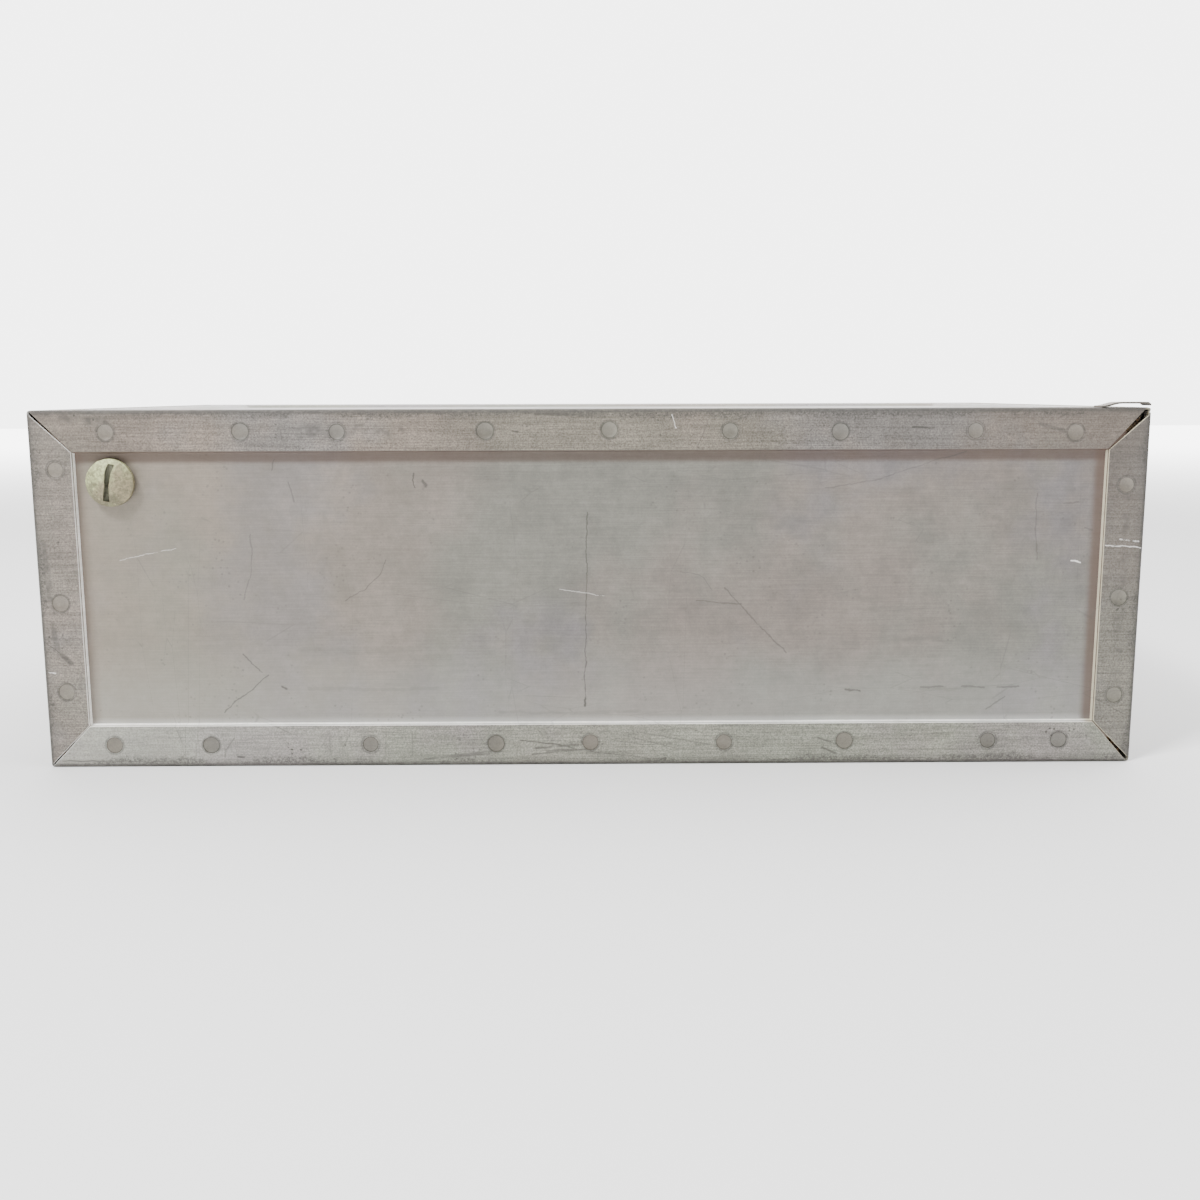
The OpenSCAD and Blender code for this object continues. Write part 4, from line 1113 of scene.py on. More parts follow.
@dataclass(frozen=True)
class CornerStrip:
    """A folded angle along one edge of the case. It is built along +X with its fold at the
    origin: one leg hangs down the plane y = 0, the other runs back over the plane z = 0."""

    node: str
    way: Way
    length: float
    face: Leg
    top: Leg
    far_side: bool = False
    low_or_back: bool = False
    weld_radius: float = 4.75
    weld_depth: float = 0.27
    fold_steps: int = 8
    edge: float = 0.2

    def placing(self) -> Matrix:
        """From the strip's own coordinates to the case's."""
        flip = [Vector((1, 0, 0)), Vector((0, 1, 0)), Vector((0, 0, 1))]
        turn = Matrix.Identity(4)
        if self.way is Way.ACROSS:
            move = (0, CASE.depth * self.far_side, CASE.height * (not self.low_or_back))
            axes = [flip[1]] * self.far_side + [flip[2]] * self.low_or_back
        elif self.way is Way.DEEP:
            move = (CASE.width * self.far_side, 0, CASE.height * (not self.low_or_back))
            axes = [flip[0]] * self.far_side + [flip[2]] * self.low_or_back
            turn = Matrix.Scale(-1, 4, Vector((1, -1, 0)).normalized())
        else:
            move = (CASE.width * self.far_side, CASE.depth * self.low_or_back, 0)
            axes = [flip[0]] * self.far_side + [flip[1]] * self.low_or_back
            turn = Matrix.Rotation(math.radians(-90), 4, "Y")
        matrix = Matrix.Translation(Vector(move) * MM)
        for axis in axes:
            matrix = matrix @ Matrix.Scale(-1, 4, axis)
        return matrix @ turn

    def folded_sheet(self, seed: int) -> Piece:
        """The two legs and the fold between them, as one skin with slightly uneven rims."""
        skin = block(self.node + "_fold", (0, 0, -self.face.width),
                     (self.length, self.top.width, 0))
        with Edit(skin) as edit:
            edit.pick(lambda middle, way: way.z < 0.5 and way.y > -0.5)
            bpy.ops.mesh.delete(type="FACE")
        with Edit(skin, "EDGE") as edit:
            edit.pick(lambda middle, way: abs(middle.y) + abs(middle.z) < 0.01)
            bpy.ops.mesh.bevel(offset=CASE.bend * MM, segments=self.fold_steps, affect="EDGES",
                               offset_type="OFFSET")
            edit.pick(lambda middle, way: abs(way.x) > 0.99)
            bpy.ops.mesh.subdivide(number_cuts=max(4, round(self.length / 26)))
        with Edit(skin, "VERT") as edit:
            edit.pick(lambda middle, way: middle.z < 0.01 - self.face.width)
            bpy.ops.transform.vertex_random(offset=self.face.wave * MM, uniform=0.0, normal=1.0,
                                            seed=seed)
            bpy.ops.transform.translate(value=(0, self.face.wave * MM, 0))
        return skin

    def mitre(self, skin: Piece) -> None:
        """Cuts the four mitres."""
        bend = CASE.bend
        for leg, down in ((self.face, True), (self.top, False)):
            for end, at_start in ((leg.start, True), (leg.end, False)):
                near = end.neighbour * bend / leg.width + end.outer_gap / 2
                far = end.neighbour + end.inner_gap / 2
                run, rise = far - near, leg.width - bend
                sign = 1 if at_start else -1
                x = near if at_start else self.length - near
                if down:
                    point, normal = (x, 0, -bend), (rise * sign, 0, run)
                else:
                    point, normal = (x, bend, 0), (rise * sign, -run, 0)
                with Edit(skin):
                    bpy.ops.mesh.select_all(action="SELECT")
                    bpy.ops.mesh.bisect(plane_co=Vector(point) * MM,
                                        plane_no=Vector(normal).normalized(), clear_inner=True)

    def weld_cutter(self, mark: bpy.types.Material, rim: bpy.types.Material) -> Piece | None:
        """All the weld marks of both legs as one cutter: a steep rim round a shallow bowl."""
        cutters = []
        for leg, along in ((self.face, "-Y"), (self.top, "Z")):
            for count, (x, off) in enumerate(leg.welds):
                floor = self.weld_depth
                radius = self.weld_radius + 0.22 * math.sin(count * 2.4)
                start = (x, floor, -off) if along == "-Y" else (x, off, -floor)
                cutter = rod("weld_cutter", start, along, radius - 0.6, floor + 1.0, 36,
                             radius + 0.6 / floor)
                cutter.data.materials.append(mark)
                cutter.data.materials.append(rim)
                with Edit(cutter) as edit:
                    bpy.ops.mesh.select_all(action="SELECT")
                    cutter.active_material_index = 1
                    bpy.ops.object.material_slot_assign()
                    edit.pick(lambda middle, way: way.y > 0.99 if along == "-Y" else way.z < -0.99)
                    cutter.active_material_index = 0
                    bpy.ops.object.material_slot_assign()
                    for step, deeper in ((1.1, 0.32), (1.0, 0.19), (0.9, 0.05)):
                        bpy.ops.mesh.inset(thickness=step * MM, depth=deeper * MM)
                cutters.append(cutter)
        return join(cutters, "weld_cutter") if cutters else None

    def build(self, seed: int, metal: bpy.types.Material, clean: bpy.types.Material,
              mark: bpy.types.Material, rim: bpy.types.Material,
              extra: Callable[[Piece], Piece] | None = None) -> Piece:
        """Builds, cuts, places and dresses the strip.

        Args:
            seed: Seed of its uneven rims.
            metal: Material of the strip.
            clean: Material of its cut edges, painted near white: bare metal with a painted highlight.
            mark: Material inside the weld marks.
            rim: Material of the weld marks' rims.
            extra: A last step in the case's coordinates, if it needs one.

        Returns:
            The finished piece.
        """
        skin = self.folded_sheet(seed)
        self.mitre(skin)
        # Cut edges and their small bevels get the near-white sheet: bare metal with a painted highlight.
        # The front top strip's edges keep the strip's sheet, because its inner edge faces down.
        dress(skin, metal, metal if self.node == "strip_front_top" else clean)
        apply_modifier(skin, "SOLIDIFY", thickness=CASE.sheet * MM, offset=-1.0,
                       use_even_offset=True, material_offset_rim=1)
        apply_modifier(skin, "BEVEL", width=self.edge * MM, segments=2, material=1,
                       limit_method="ANGLE", angle_limit=math.radians(40))
        cutter = self.weld_cutter(mark, rim)
        if cutter:
            combine(skin, cutter)
        put(skin, self.placing())
        if extra:
            skin = extra(skin)
        smooth(skin, 13.0)
        put(skin, CASE.shift())
        skin.name = self.node.replace("strip", "angle")
        return hand_over(skin, "case", "corner_strip", self.node)


@dataclass(frozen=True)
class CornerStrips:
    """All twelve strips of the case; cut is the material of the sprung end's cut edge."""

    cut: bpy.types.Material | None = None
    screw_head: float = 3.2
    screw_shank: float = 1.5
    tongue_start: float = 583.0
    tongue_depth: float = 12.0
    tongue_rise: float = 2.0
    tongue_sheet: float = 0.95

    def front_welds(self) -> dict[str, tuple[Spot, ...]]:
        """Places of the front's weld marks along each strip and off its folded edge."""
        return {
            "top": ((42.2, 11.8), (115, 11.6), (167.2, 11.9), (247.5, 11.6), (315, 11.2),
                    (380.6, 12.0), (440.6, 12.6), (514.3, 12.3), (569, 13.4)),
            "bottom": ((36.5, 12.7), (90.7, 12.5), (180.2, 12.5), (250.8, 12.5), (304, 13.0),
                       (379.4, 12.8), (447.4, 13.3), (528.6, 13.0), (568.8, 13.2)),
            "left": ((43.5, 11.8), (93.5, 11.8), (167, 14.0)),
            "right": ((39, 11.2), (94.5, 11.9), (157, 11.5)),
        }

    def front_weld_spots(self) -> dict[str, tuple[Spot, ...]]:
        """The same places as distance from the left and height."""
        welds = self.front_welds()
        return {
            "top": tuple((x, CASE.height - off) for x, off in welds["top"]),
            "bottom": welds["bottom"],
            "left": tuple((off, z) for z, off in welds["left"]),
            "right": tuple((CASE.width - off, z) for z, off in welds["right"]),
        }

    def all_strips(self) -> list[CornerStrip]:
        """The strips with their legs, ends and places."""
        size, welds = CASE, self.front_welds()
        wide, deep, tall = (even_welds(size.width, 9), even_welds(size.depth, 5),
                            even_welds(size.height, 3))
        side = size.rail_side
        left, right = LegEnd(size.rail_left), LegEnd(size.rail_right)
        across, down, up = Way.ACROSS, Way.DEEP, Way.UPRIGHT
        tl, tr, bl, br = (2.0, 0.9), (5.2, 1.3), (1.4, 0.7), (3.0, 0.9)
        return [
            CornerStrip("strip_front_top", across, size.width,
                        Leg(size.face_top, LegEnd(size.face_left, *tl),
                            LegEnd(size.face_right, *tr), welds["top"]),
                        Leg(side, LegEnd(size.rail_left, *tl), right)),
            CornerStrip("strip_front_bottom", across, size.width,
                        Leg(size.face_bottom, LegEnd(size.face_left, *bl),
                            LegEnd(size.face_right, *br), welds["bottom"]),
                        Leg(side, welds=wide), low_or_back=True),
            CornerStrip("strip_front_left", up, size.height,
                        Leg(size.face_left, LegEnd(size.face_bottom, *bl),
                            LegEnd(size.face_top, *tl), welds["left"]), Leg(side, welds=tall)),
            CornerStrip("strip_front_right", up, size.height,
                        Leg(size.face_right, LegEnd(size.face_bottom, *br),
                            LegEnd(size.face_top, *tr), welds["right"]), Leg(side, welds=tall),
                        far_side=True),
            CornerStrip("strip_back_top", across, size.width, Leg(side, welds=wide),
                        Leg(side, left, right), far_side=True),
            CornerStrip("strip_back_bottom", across, size.width, Leg(side, welds=wide),
                        Leg(side, welds=wide), far_side=True, low_or_back=True),
            CornerStrip("strip_back_left", up, size.height, Leg(side, welds=tall), Leg(side, welds=tall),
                        low_or_back=True),
            CornerStrip("strip_back_right", up, size.height, Leg(side, welds=tall),
                        Leg(side, welds=tall), far_side=True, low_or_back=True),
            CornerStrip("strip_left_top", down, size.depth, Leg(side, welds=deep),
                        Leg(size.rail_left)),
            CornerStrip("strip_right_top", down, size.depth, Leg(side, welds=deep),
                        Leg(size.rail_right), far_side=True),
            CornerStrip("strip_left_bottom", down, size.depth, Leg(side, welds=deep),
                        Leg(side, welds=deep), low_or_back=True),
            CornerStrip("strip_right_bottom", down, size.depth, Leg(side, welds=deep),
                        Leg(side, welds=deep), far_side=True, low_or_back=True),
        ]

    def screw_spots(self) -> list[Spot]:
        """Places of the countersunk screws in the top legs."""
        size = CASE
        across = [size.width * (i + 0.5) / 5 for i in range(5)]
        deep = [size.depth * (i + 1) / 4 for i in range(3)]
        return ([(x, size.rail_side / 2) for x in across]
                + [(x, size.depth - size.rail_side / 2) for x in across]
                + [(size.rail_left / 2, y) for y in deep]
                + [(size.width - size.rail_right / 2, y) for y in deep])

    def countersink(self, skin: Piece) -> Piece:
        """Cuts the screws' seats out of a top leg."""
        lo = [min(v.co[i] for v in skin.data.vertices) / MM for i in range(2)]
        hi = [max(v.co[i] for v in skin.data.vertices) / MM for i in range(2)]
        grow = 0.06
        cutters = [rod("seat", (x, y, CASE.height - 1.7), "Z", self.screw_shank + grow, 2.0, 32,
                       self.screw_head + grow + 0.3)
                   for x, y in self.screw_spots()
                   if lo[0] < x < hi[0] and lo[1] < y < hi[1]]
        seat = dress(join(cutters, "seat"), *skin.data.materials[:1])
        return combine(skin, seat)

    def with_tongue(self, skin: Piece) -> Piece:
        """Adds the sprung end: a thin tongue that rises over the corner, open below."""
        skin = self.countersink(skin)
        steps, end = 17, CASE.width - 0.3
        tongue = block("tongue", (self.tongue_start, 0.9, CASE.height - 0.02),
                       (end, 0.9 + self.tongue_depth, CASE.height + self.tongue_sheet - 0.02))
        pace = (end - self.tongue_start) / steps
        with Edit(tongue, "EDGE") as edit:
            edit.pick(lambda middle, way: abs(way.x) > 0.9)
            bpy.ops.mesh.subdivide(number_cuts=steps - 1)
        climb = 7
        with Edit(tongue, "VERT") as edit:
            for step in range(climb):
                limit = self.tongue_start + pace * (step + 0.5)
                edit.pick(lambda middle, way: middle.x > limit)
                share = (1 + 2 * step * (climb - 1 - step) / 5) / (climb + 14)
                bpy.ops.transform.translate(value=(0, 0, self.tongue_rise * share * MM))
            edit.pick(lambda middle, way: middle.x > end - pace / 2)
            bpy.ops.transform.translate(value=(0, 0, -1.1 * MM))
        dress(tongue, skin.data.materials[0], self.cut)
        with Edit(tongue) as edit:
            edit.pick(lambda middle, way: way.y < -0.9)
            tongue.active_material_index = 1
            bpy.ops.object.material_slot_assign()
        soften(tongue, 0.1, 50.0, 1)
        return join([skin, tongue], skin.name)

    def build(self, front_metals: dict[str, bpy.types.Material], metal: bpy.types.Material,
              clean: bpy.types.Material, mark: bpy.types.Material,
              rim: bpy.types.Material) -> None:
        """Builds the twelve strips.

        Args:
            front_metals: Materials of the front's four strips by their side.
            metal: Material of the other strips.
            clean: Material of the cut edges, painted near white: bare metal with a painted highlight.
            mark: Material inside the weld marks.
            rim: Material of the weld marks' rims.
        """
        for seed, strip in enumerate(self.all_strips()):
            extra = None
            if strip.node.endswith("_top"):
                extra = self.with_tongue if "right" in strip.node else self.countersink
            side = strip.node.removeprefix("strip_front_")
            strip.build(seed + 3, front_metals.get(side, metal), clean, mark, rim, extra)


# Dished sheets


@dataclass(frozen=True)
class DishedSheet:
    """A sheet facing -Y with a dished field, built in its own X and Z and then placed."""

    field_lo: Spot
    field_hi: Spot
    rim: float
    dish: float = CASE.dish
    run: float = CASE.dish_run
    thickness: float = CASE.panel
    sag: float = 0.5
    press: float = 0.35
    cell: float = 13.0

    def skin(self, name: str, seed: int) -> Piece:
        """The field, its bevel and its rim as one surface.

        Args:
            name: The object's name.
            seed: Shifts the pattern of its hollows.

        Returns:
            The surface, whose rim lies in the plane y = 0.
        """
        lo = (self.field_lo[0] + self.run, self.field_lo[1] + self.run)
        hi = (self.field_hi[0] - self.run, self.field_hi[1] - self.run)
        size = (hi[0] - lo[0], hi[1] - lo[1])
        middle = Vector(((lo[0] + hi[0]) / 2, self.dish, (lo[1] + hi[1]) / 2)) * MM
        deselect_all()
        bpy.ops.mesh.primitive_grid_add(
            x_subdivisions=round(size[0] / self.cell), y_subdivisions=round(size[1] / self.cell),
            size=1.0, location=middle, rotation=(math.radians(90), 0, 0))
        bpy.context.object.scale = (size[0] * MM, size[1] * MM, 1.0)
        sheet = named(name)
        self.buckle(sheet, lo, hi, seed)
        with Edit(sheet, "EDGE") as edit:
            edit.pick_border()
            for step, back in ((self.run, -self.dish), (self.rim, 0.0)):
                bpy.ops.mesh.extrude_edges_move()
                grown = [(size[i] + 2 * step) / size[i] for i in range(2)]
                bpy.ops.transform.resize(value=(grown[0], 1.0, grown[1]), center_override=middle)
                bpy.ops.transform.translate(value=(0, back * MM, 0))
                size = tuple(length + 2 * step for length in size)
        return soften(sheet, self.press, 30.0, 3)

    def buckle(self, sheet: Piece, lo: Spot, hi: Spot, seed: int) -> None:
        """Gives the field shallow hollows that fade towards its border."""
        group = sheet.vertex_groups.new(name="field")
        for vertex in sheet.data.vertices:
            x, z = vertex.co.x / MM, vertex.co.z / MM
            near = min(x - lo[0], hi[0] - x, z - lo[1], hi[1] - z)
            group.add([vertex.index], max(0.0, min(1.0, near / 40.0)), "REPLACE")
        texture = bpy.data.textures.new("hollows", "CLOUDS")
        texture.noise_scale = 0.11
        texture.noise_depth = 1
        origin = bpy.data.objects.new("hollow_origin", None)
        origin.location = (seed * 0.37, seed * 0.21, seed * 0.13)
        bpy.context.scene.collection.objects.link(origin)
        bpy.context.view_layer.update()
        apply_modifier(sheet, "DISPLACE", texture=texture, vertex_group="field",
                       strength=self.sag * MM, mid_level=0.5, direction="Y",
                       texture_coords="OBJECT", texture_coords_object=origin)
        bpy.data.objects.remove(origin)

    def solid(self, name: str, seed: int) -> Piece:
        """The surface with its thickness behind it."""
        sheet = self.skin(name, seed)
        return apply_modifier(sheet, "SOLIDIFY", thickness=self.thickness * MM, offset=-1.0,
                              use_even_offset=True)


@dataclass(frozen=True)
class Panels:
    """The five dished panels of the case."""

    rim: float = 9.6
    bore: float = 8.0
    lock: Spot = (43.2, 160.0)

    def sheet_for(self, width: float, height: float, left: float, right: float, low: float,
                  top: float) -> DishedSheet:
        """A dished sheet for a face of a given size and strip widths."""
        gap = CASE.field_gap
        return DishedSheet((left + gap, low + gap), (width - right - gap, height - top - gap),
                           self.rim)

    def build(self, halves: tuple[bpy.types.Material, bpy.types.Material],
              other: bpy.types.Material, clean: bpy.types.Material) -> None:
        """Builds and places the five panels.

        Args:
            halves: Materials of the front panel's left and right half.
            other: Material of the other panels.
            clean: Material of the slopes, painted near white as a highlight.
        """
        size, side = CASE, CASE.rail_side
        depth = Matrix.Translation(Vector((0, size.sheet, 0)) * MM)
        faces = {
            "front": (self.sheet_for(size.width, size.height, size.face_left, size.face_right,
                                     size.face_bottom, size.face_top), Matrix.Identity(4)),
            "back": (self.sheet_for(size.width, size.height, side, side, side, side),
                     Matrix.Translation(Vector((0, size.depth, 0)) * MM)
                     @ Matrix.Scale(-1, 4, Vector((0, 1, 0)))),
            "left": (self.sheet_for(size.depth, size.height, side, side, side, side),
                     Matrix.Scale(-1, 4, Vector((1, -1, 0)).normalized())),
            "right": (self.sheet_for(size.depth, size.height, side, side, side, side),
                      Matrix.Translation(Vector((size.width, 0, 0)) * MM)
                      @ Matrix.Rotation(math.radians(90), 4, "Z")),
            "bottom": (self.sheet_for(size.width, size.depth, side, side, side, side),
                       Matrix.Scale(-1, 4, Vector((0, 1, -1)).normalized())),
        }
        for seed, (face, (sheet, matrix)) in enumerate(faces.items()):
            panel = dress(sheet.solid(face + "_sheet", seed),
                          halves[0] if face == "front" else other, clean)
            if face == "front":
                panel.data.materials.append(halves[1])
                with Edit(panel) as edit:
                    edit.pick(lambda middle, way: middle.x > size.width / 2)
                    panel.active_material_index = 2
                    bpy.ops.object.material_slot_assign()
            # Slopes that face up or to the sides get the near-white sheet as a painted highlight; the
            # top slope, which faces down, keeps the panel's sheet.
            with Edit(panel) as edit:
                edit.pick(lambda middle, way: -0.75 < way.y < -0.15 and way.z > -0.3)
                panel.active_material_index = 1
                bpy.ops.object.material_slot_assign()
            put(panel, CASE.shift() @ matrix @ depth)
            if face == "front":
                at = CASE.point(self.lock[0], 0, self.lock[1]) / MM
                cutter = rod("bore", (at.x, at.y - 1, at.z), "Y", self.bore, 9.0, 48)
                combine(panel, dress(cutter, halves[0]))
            smooth(panel, 34.0)
            hand_over(panel, "case", "panel", "panel_" + face)


# Lid


@dataclass(frozen=True)
class Lid:
    """The outer sheet of the lid with its dished field."""

    border: float = 20.0
    run: float = 3.0
    cup: tuple[float, float] = (72.0, 36.0)
    cup_front: float = 66.0
    cup_depth: float = 10.0

    def build(self, metal: bpy.types.Material) -> None:
        """Builds the lid's sheet and cuts the room for the pull's cup."""
        size = CASE
        lo = (size.rail_left + size.lid_gap, size.rail_side + size.lid_gap)
        hi = (size.width - size.rail_right - size.lid_gap,
              size.depth - size.rail_side - size.hinge_room)
        field_lo = (lo[0] + self.border, lo[1] + self.border)
        field_hi = (hi[0] - self.border, hi[1] - self.border)
        sheet = DishedSheet(field_lo, field_hi, self.border, run=self.run, sag=0.6, press=1.0)
        lid = sheet.skin("lid_sheet", 7)
        with Edit(lid, "EDGE") as edit:
            edit.pick_border()
            bpy.ops.mesh.extrude_edges_move()
            bpy.ops.transform.translate(value=(0, size.lid_edge * MM, 0))
        soften(lid, 0.9, 60.0, 4)
        apply_modifier(lid, "SOLIDIFY", thickness=size.sheet * MM, offset=-1.0,
                       use_even_offset=True)
        tilt = Matrix.Rotation(math.radians(-90), 4, "X")
        put(lid, CASE.shift() @ Matrix.Translation(Vector((0, 0, size.height)) * MM) @ tilt)
        floor = size.height - size.dish - self.cup_depth
        start = size.width / 2 - self.cup[0] / 2 - 0.1
        room = block("room", (start, self.cup_front - 0.1, floor),
                     (start + self.cup[0] + 0.2, self.cup_front + self.cup[1] + 0.1,
                      size.height + 2))
        put(room, CASE.shift())
        combine(lid, dress(room, metal))
        dress(lid, metal)
        smooth(lid, 34.0)
        hand_over(lid, "lid", "lid_sheet", "lid_pan")


@dataclass(frozen=True)
class BentRod:
    """A rod bent to a U in its own plane y, z, with its open ends up and rounded."""

    radius: float
    half: float
    drop: float
    bend: float
    sides: int = 24
    steps: int = 8

    def build(self, name: str) -> Piece:
        """Builds the rod by drawing out one end of a disc.

        Args:
            name: The object's name.

        Returns:
            The rod, with the middle between its ends at the origin.
        """
        deselect_all()
        bpy.ops.mesh.primitive_circle_add(
            vertices=self.sides, radius=self.radius * MM, fill_type="NGON",
            location=(0, -self.half * MM, 0))
        piece = named(name)
        straight = self.drop - self.bend
        with Edit(piece) as edit:
            bpy.ops.mesh.select_all(action="SELECT")
            self.draw((0, 0, -straight))
            self.curve((0, -self.half + self.bend, -straight))
            self.draw((0, 2 * (self.half - self.bend), 0))
            self.curve((0, self.half - self.bend, -straight))
            self.draw((0, 0, straight))
            self.round_end()
            edit.pick(lambda middle, way: middle.y < 0 and abs(middle.z) < 0.01
                      and abs(way.z) > 0.9)
            self.round_end()
        return turn_out(piece)

    def draw(self, move: Sequence[float]) -> None:
        """Extrudes the picked end along a straight line."""
        bpy.ops.mesh.extrude_region_move(
            TRANSFORM_OT_translate={"value": Vector(move) * MM})

    def curve(self, centre: Sequence[float]) -> None:
        """Extrudes the picked end round a quarter turn."""
        step = math.radians(90 / self.steps)
        for _ in range(self.steps):
            bpy.ops.mesh.extrude_region_move(TRANSFORM_OT_translate={"value": (0, 0, 0)})
            bpy.ops.transform.rotate(value=-step, orient_axis="X",
                                     center_override=Vector(centre) * MM)

    def round_end(self) -> None:
        """Closes the picked end with a low dome."""
        for rise, share in ((0.45, 0.9), (0.35, 0.75), (0.15, 0.5)):
            bpy.ops.mesh.extrude_region_move(
                TRANSFORM_OT_translate={"value": (0, 0, rise * self.radius * MM)})
            bpy.ops.transform.resize(value=(share, share, share))


@dataclass(frozen=True)
class FlushPull:
    """The cup in the lid and the bail that folds down into it."""

    cup_lo: tuple[float, float] = (269.0, 66.0)
    cup: tuple[float, float, float] = (72.0, 36.0, 10.0)
    wall: float = 1.2
    plate: float = 8.0
    plate_sheet: float = 1.5
    ear: float = 3.0
    rod_radius: float = 2.5
    pin_radius: float = 1.8
    reach: float = 22.0
    bend: float = 6.0

    def build_cup(self, metal: bpy.types.Material) -> None:
        """Builds the cup with its plate and the ears that hold the bail."""
        field_z = CASE.height - CASE.dish
        lo = (self.cup_lo[0] - self.plate, self.cup_lo[1] - self.plate, field_z)
        hi = (self.cup_lo[0] + self.cup[0] + self.plate, self.cup_lo[1] + self.cup[1] + self.plate,
              field_z + self.plate_sheet)
        cup = block("pull_plate", lo, hi)
        self.round_corners(cup, 5.0)
        start = Vector((*self.cup_lo, field_z - self.cup[2]))
        end = start + Vector((self.cup[0], self.cup[1], self.cup[2] + 0.5))
        body = block("body", start, end)
        self.round_corners(body, 4.0)
        combine(cup, body, "UNION")
        wall = Vector((self.wall, self.wall, 0))
        room = block("room", start + wall + Vector((0, 0, self.wall)),
                     end - wall + Vector((0, 0, 3)))
        self.round_corners(room, 3.0)
        combine(cup, room)
        soften(cup, 0.45, 40.0)
        back = self.cup_lo[1] + self.cup[1]
        bail_y = back - 6.5
        for x in (self.cup_lo[0], self.cup_lo[0] + self.cup[0] - self.wall - self.ear):
            ear = block("ear", (x + 0.2, bail_y - 4, field_z - self.cup[2] + 0.4),
                        (x + self.wall + self.ear - 0.2, back - 0.4, field_z - 0.05))
            with Edit(ear, "EDGE") as edit:
                edit.pick(lambda middle, way: abs(way.x) > 0.9 and middle.y < bail_y)
                bpy.ops.mesh.bevel(offset=2.0 * MM, segments=4, affect="EDGES")
            combine(cup, ear, "UNION")
        put(cup, CASE.shift())
        smooth(dress(cup, metal), 40.0)
        hand_over(cup, "lid", "fitting_alloy", "pull_cup")

    def round_corners(self, piece: Piece, radius: float) -> None:
        """Rounds the four upright corners of a block."""
        with Edit(piece, "EDGE") as edit:
            edit.pick(lambda middle, way: abs(way.z) > 0.9)
            bpy.ops.mesh.bevel(offset=radius * MM, segments=6, affect="EDGES")

    def build_bail(self, metal: bpy.types.Material) -> None:
        """Builds the bail with its pin, lying in the cup."""
        half = self.cup[0] / 2 - self.wall - self.ear - self.rod_radius - 0.5
        bail = BentRod(self.rod_radius, half, self.reach, self.bend, 20).build("pull_bow")
        for side in (-1, 1):
            pin = rod("pin", (0, side * (half - self.rod_radius), 0), "Y" if side > 0 else "-Y",
                      self.pin_radius, self.ear + 2 * self.rod_radius, 20)
            combine(bail, pin, "UNION")
        lie = (Matrix.Rotation(math.radians(-90), 4, "X")
               @ Matrix.Rotation(math.radians(90), 4, "Z"))
        at = Vector((CASE.width / 2, self.cup_lo[1] + self.cup[1] - 6.5,
                     CASE.height - CASE.dish - 3.6)) * MM
        put(bail, CASE.shift() @ Matrix.Translation(at) @ lie)
        smooth(dress(bail, metal), 40.0)
        hand_over(bail, "pull", "fitting_alloy", "pull_bail")


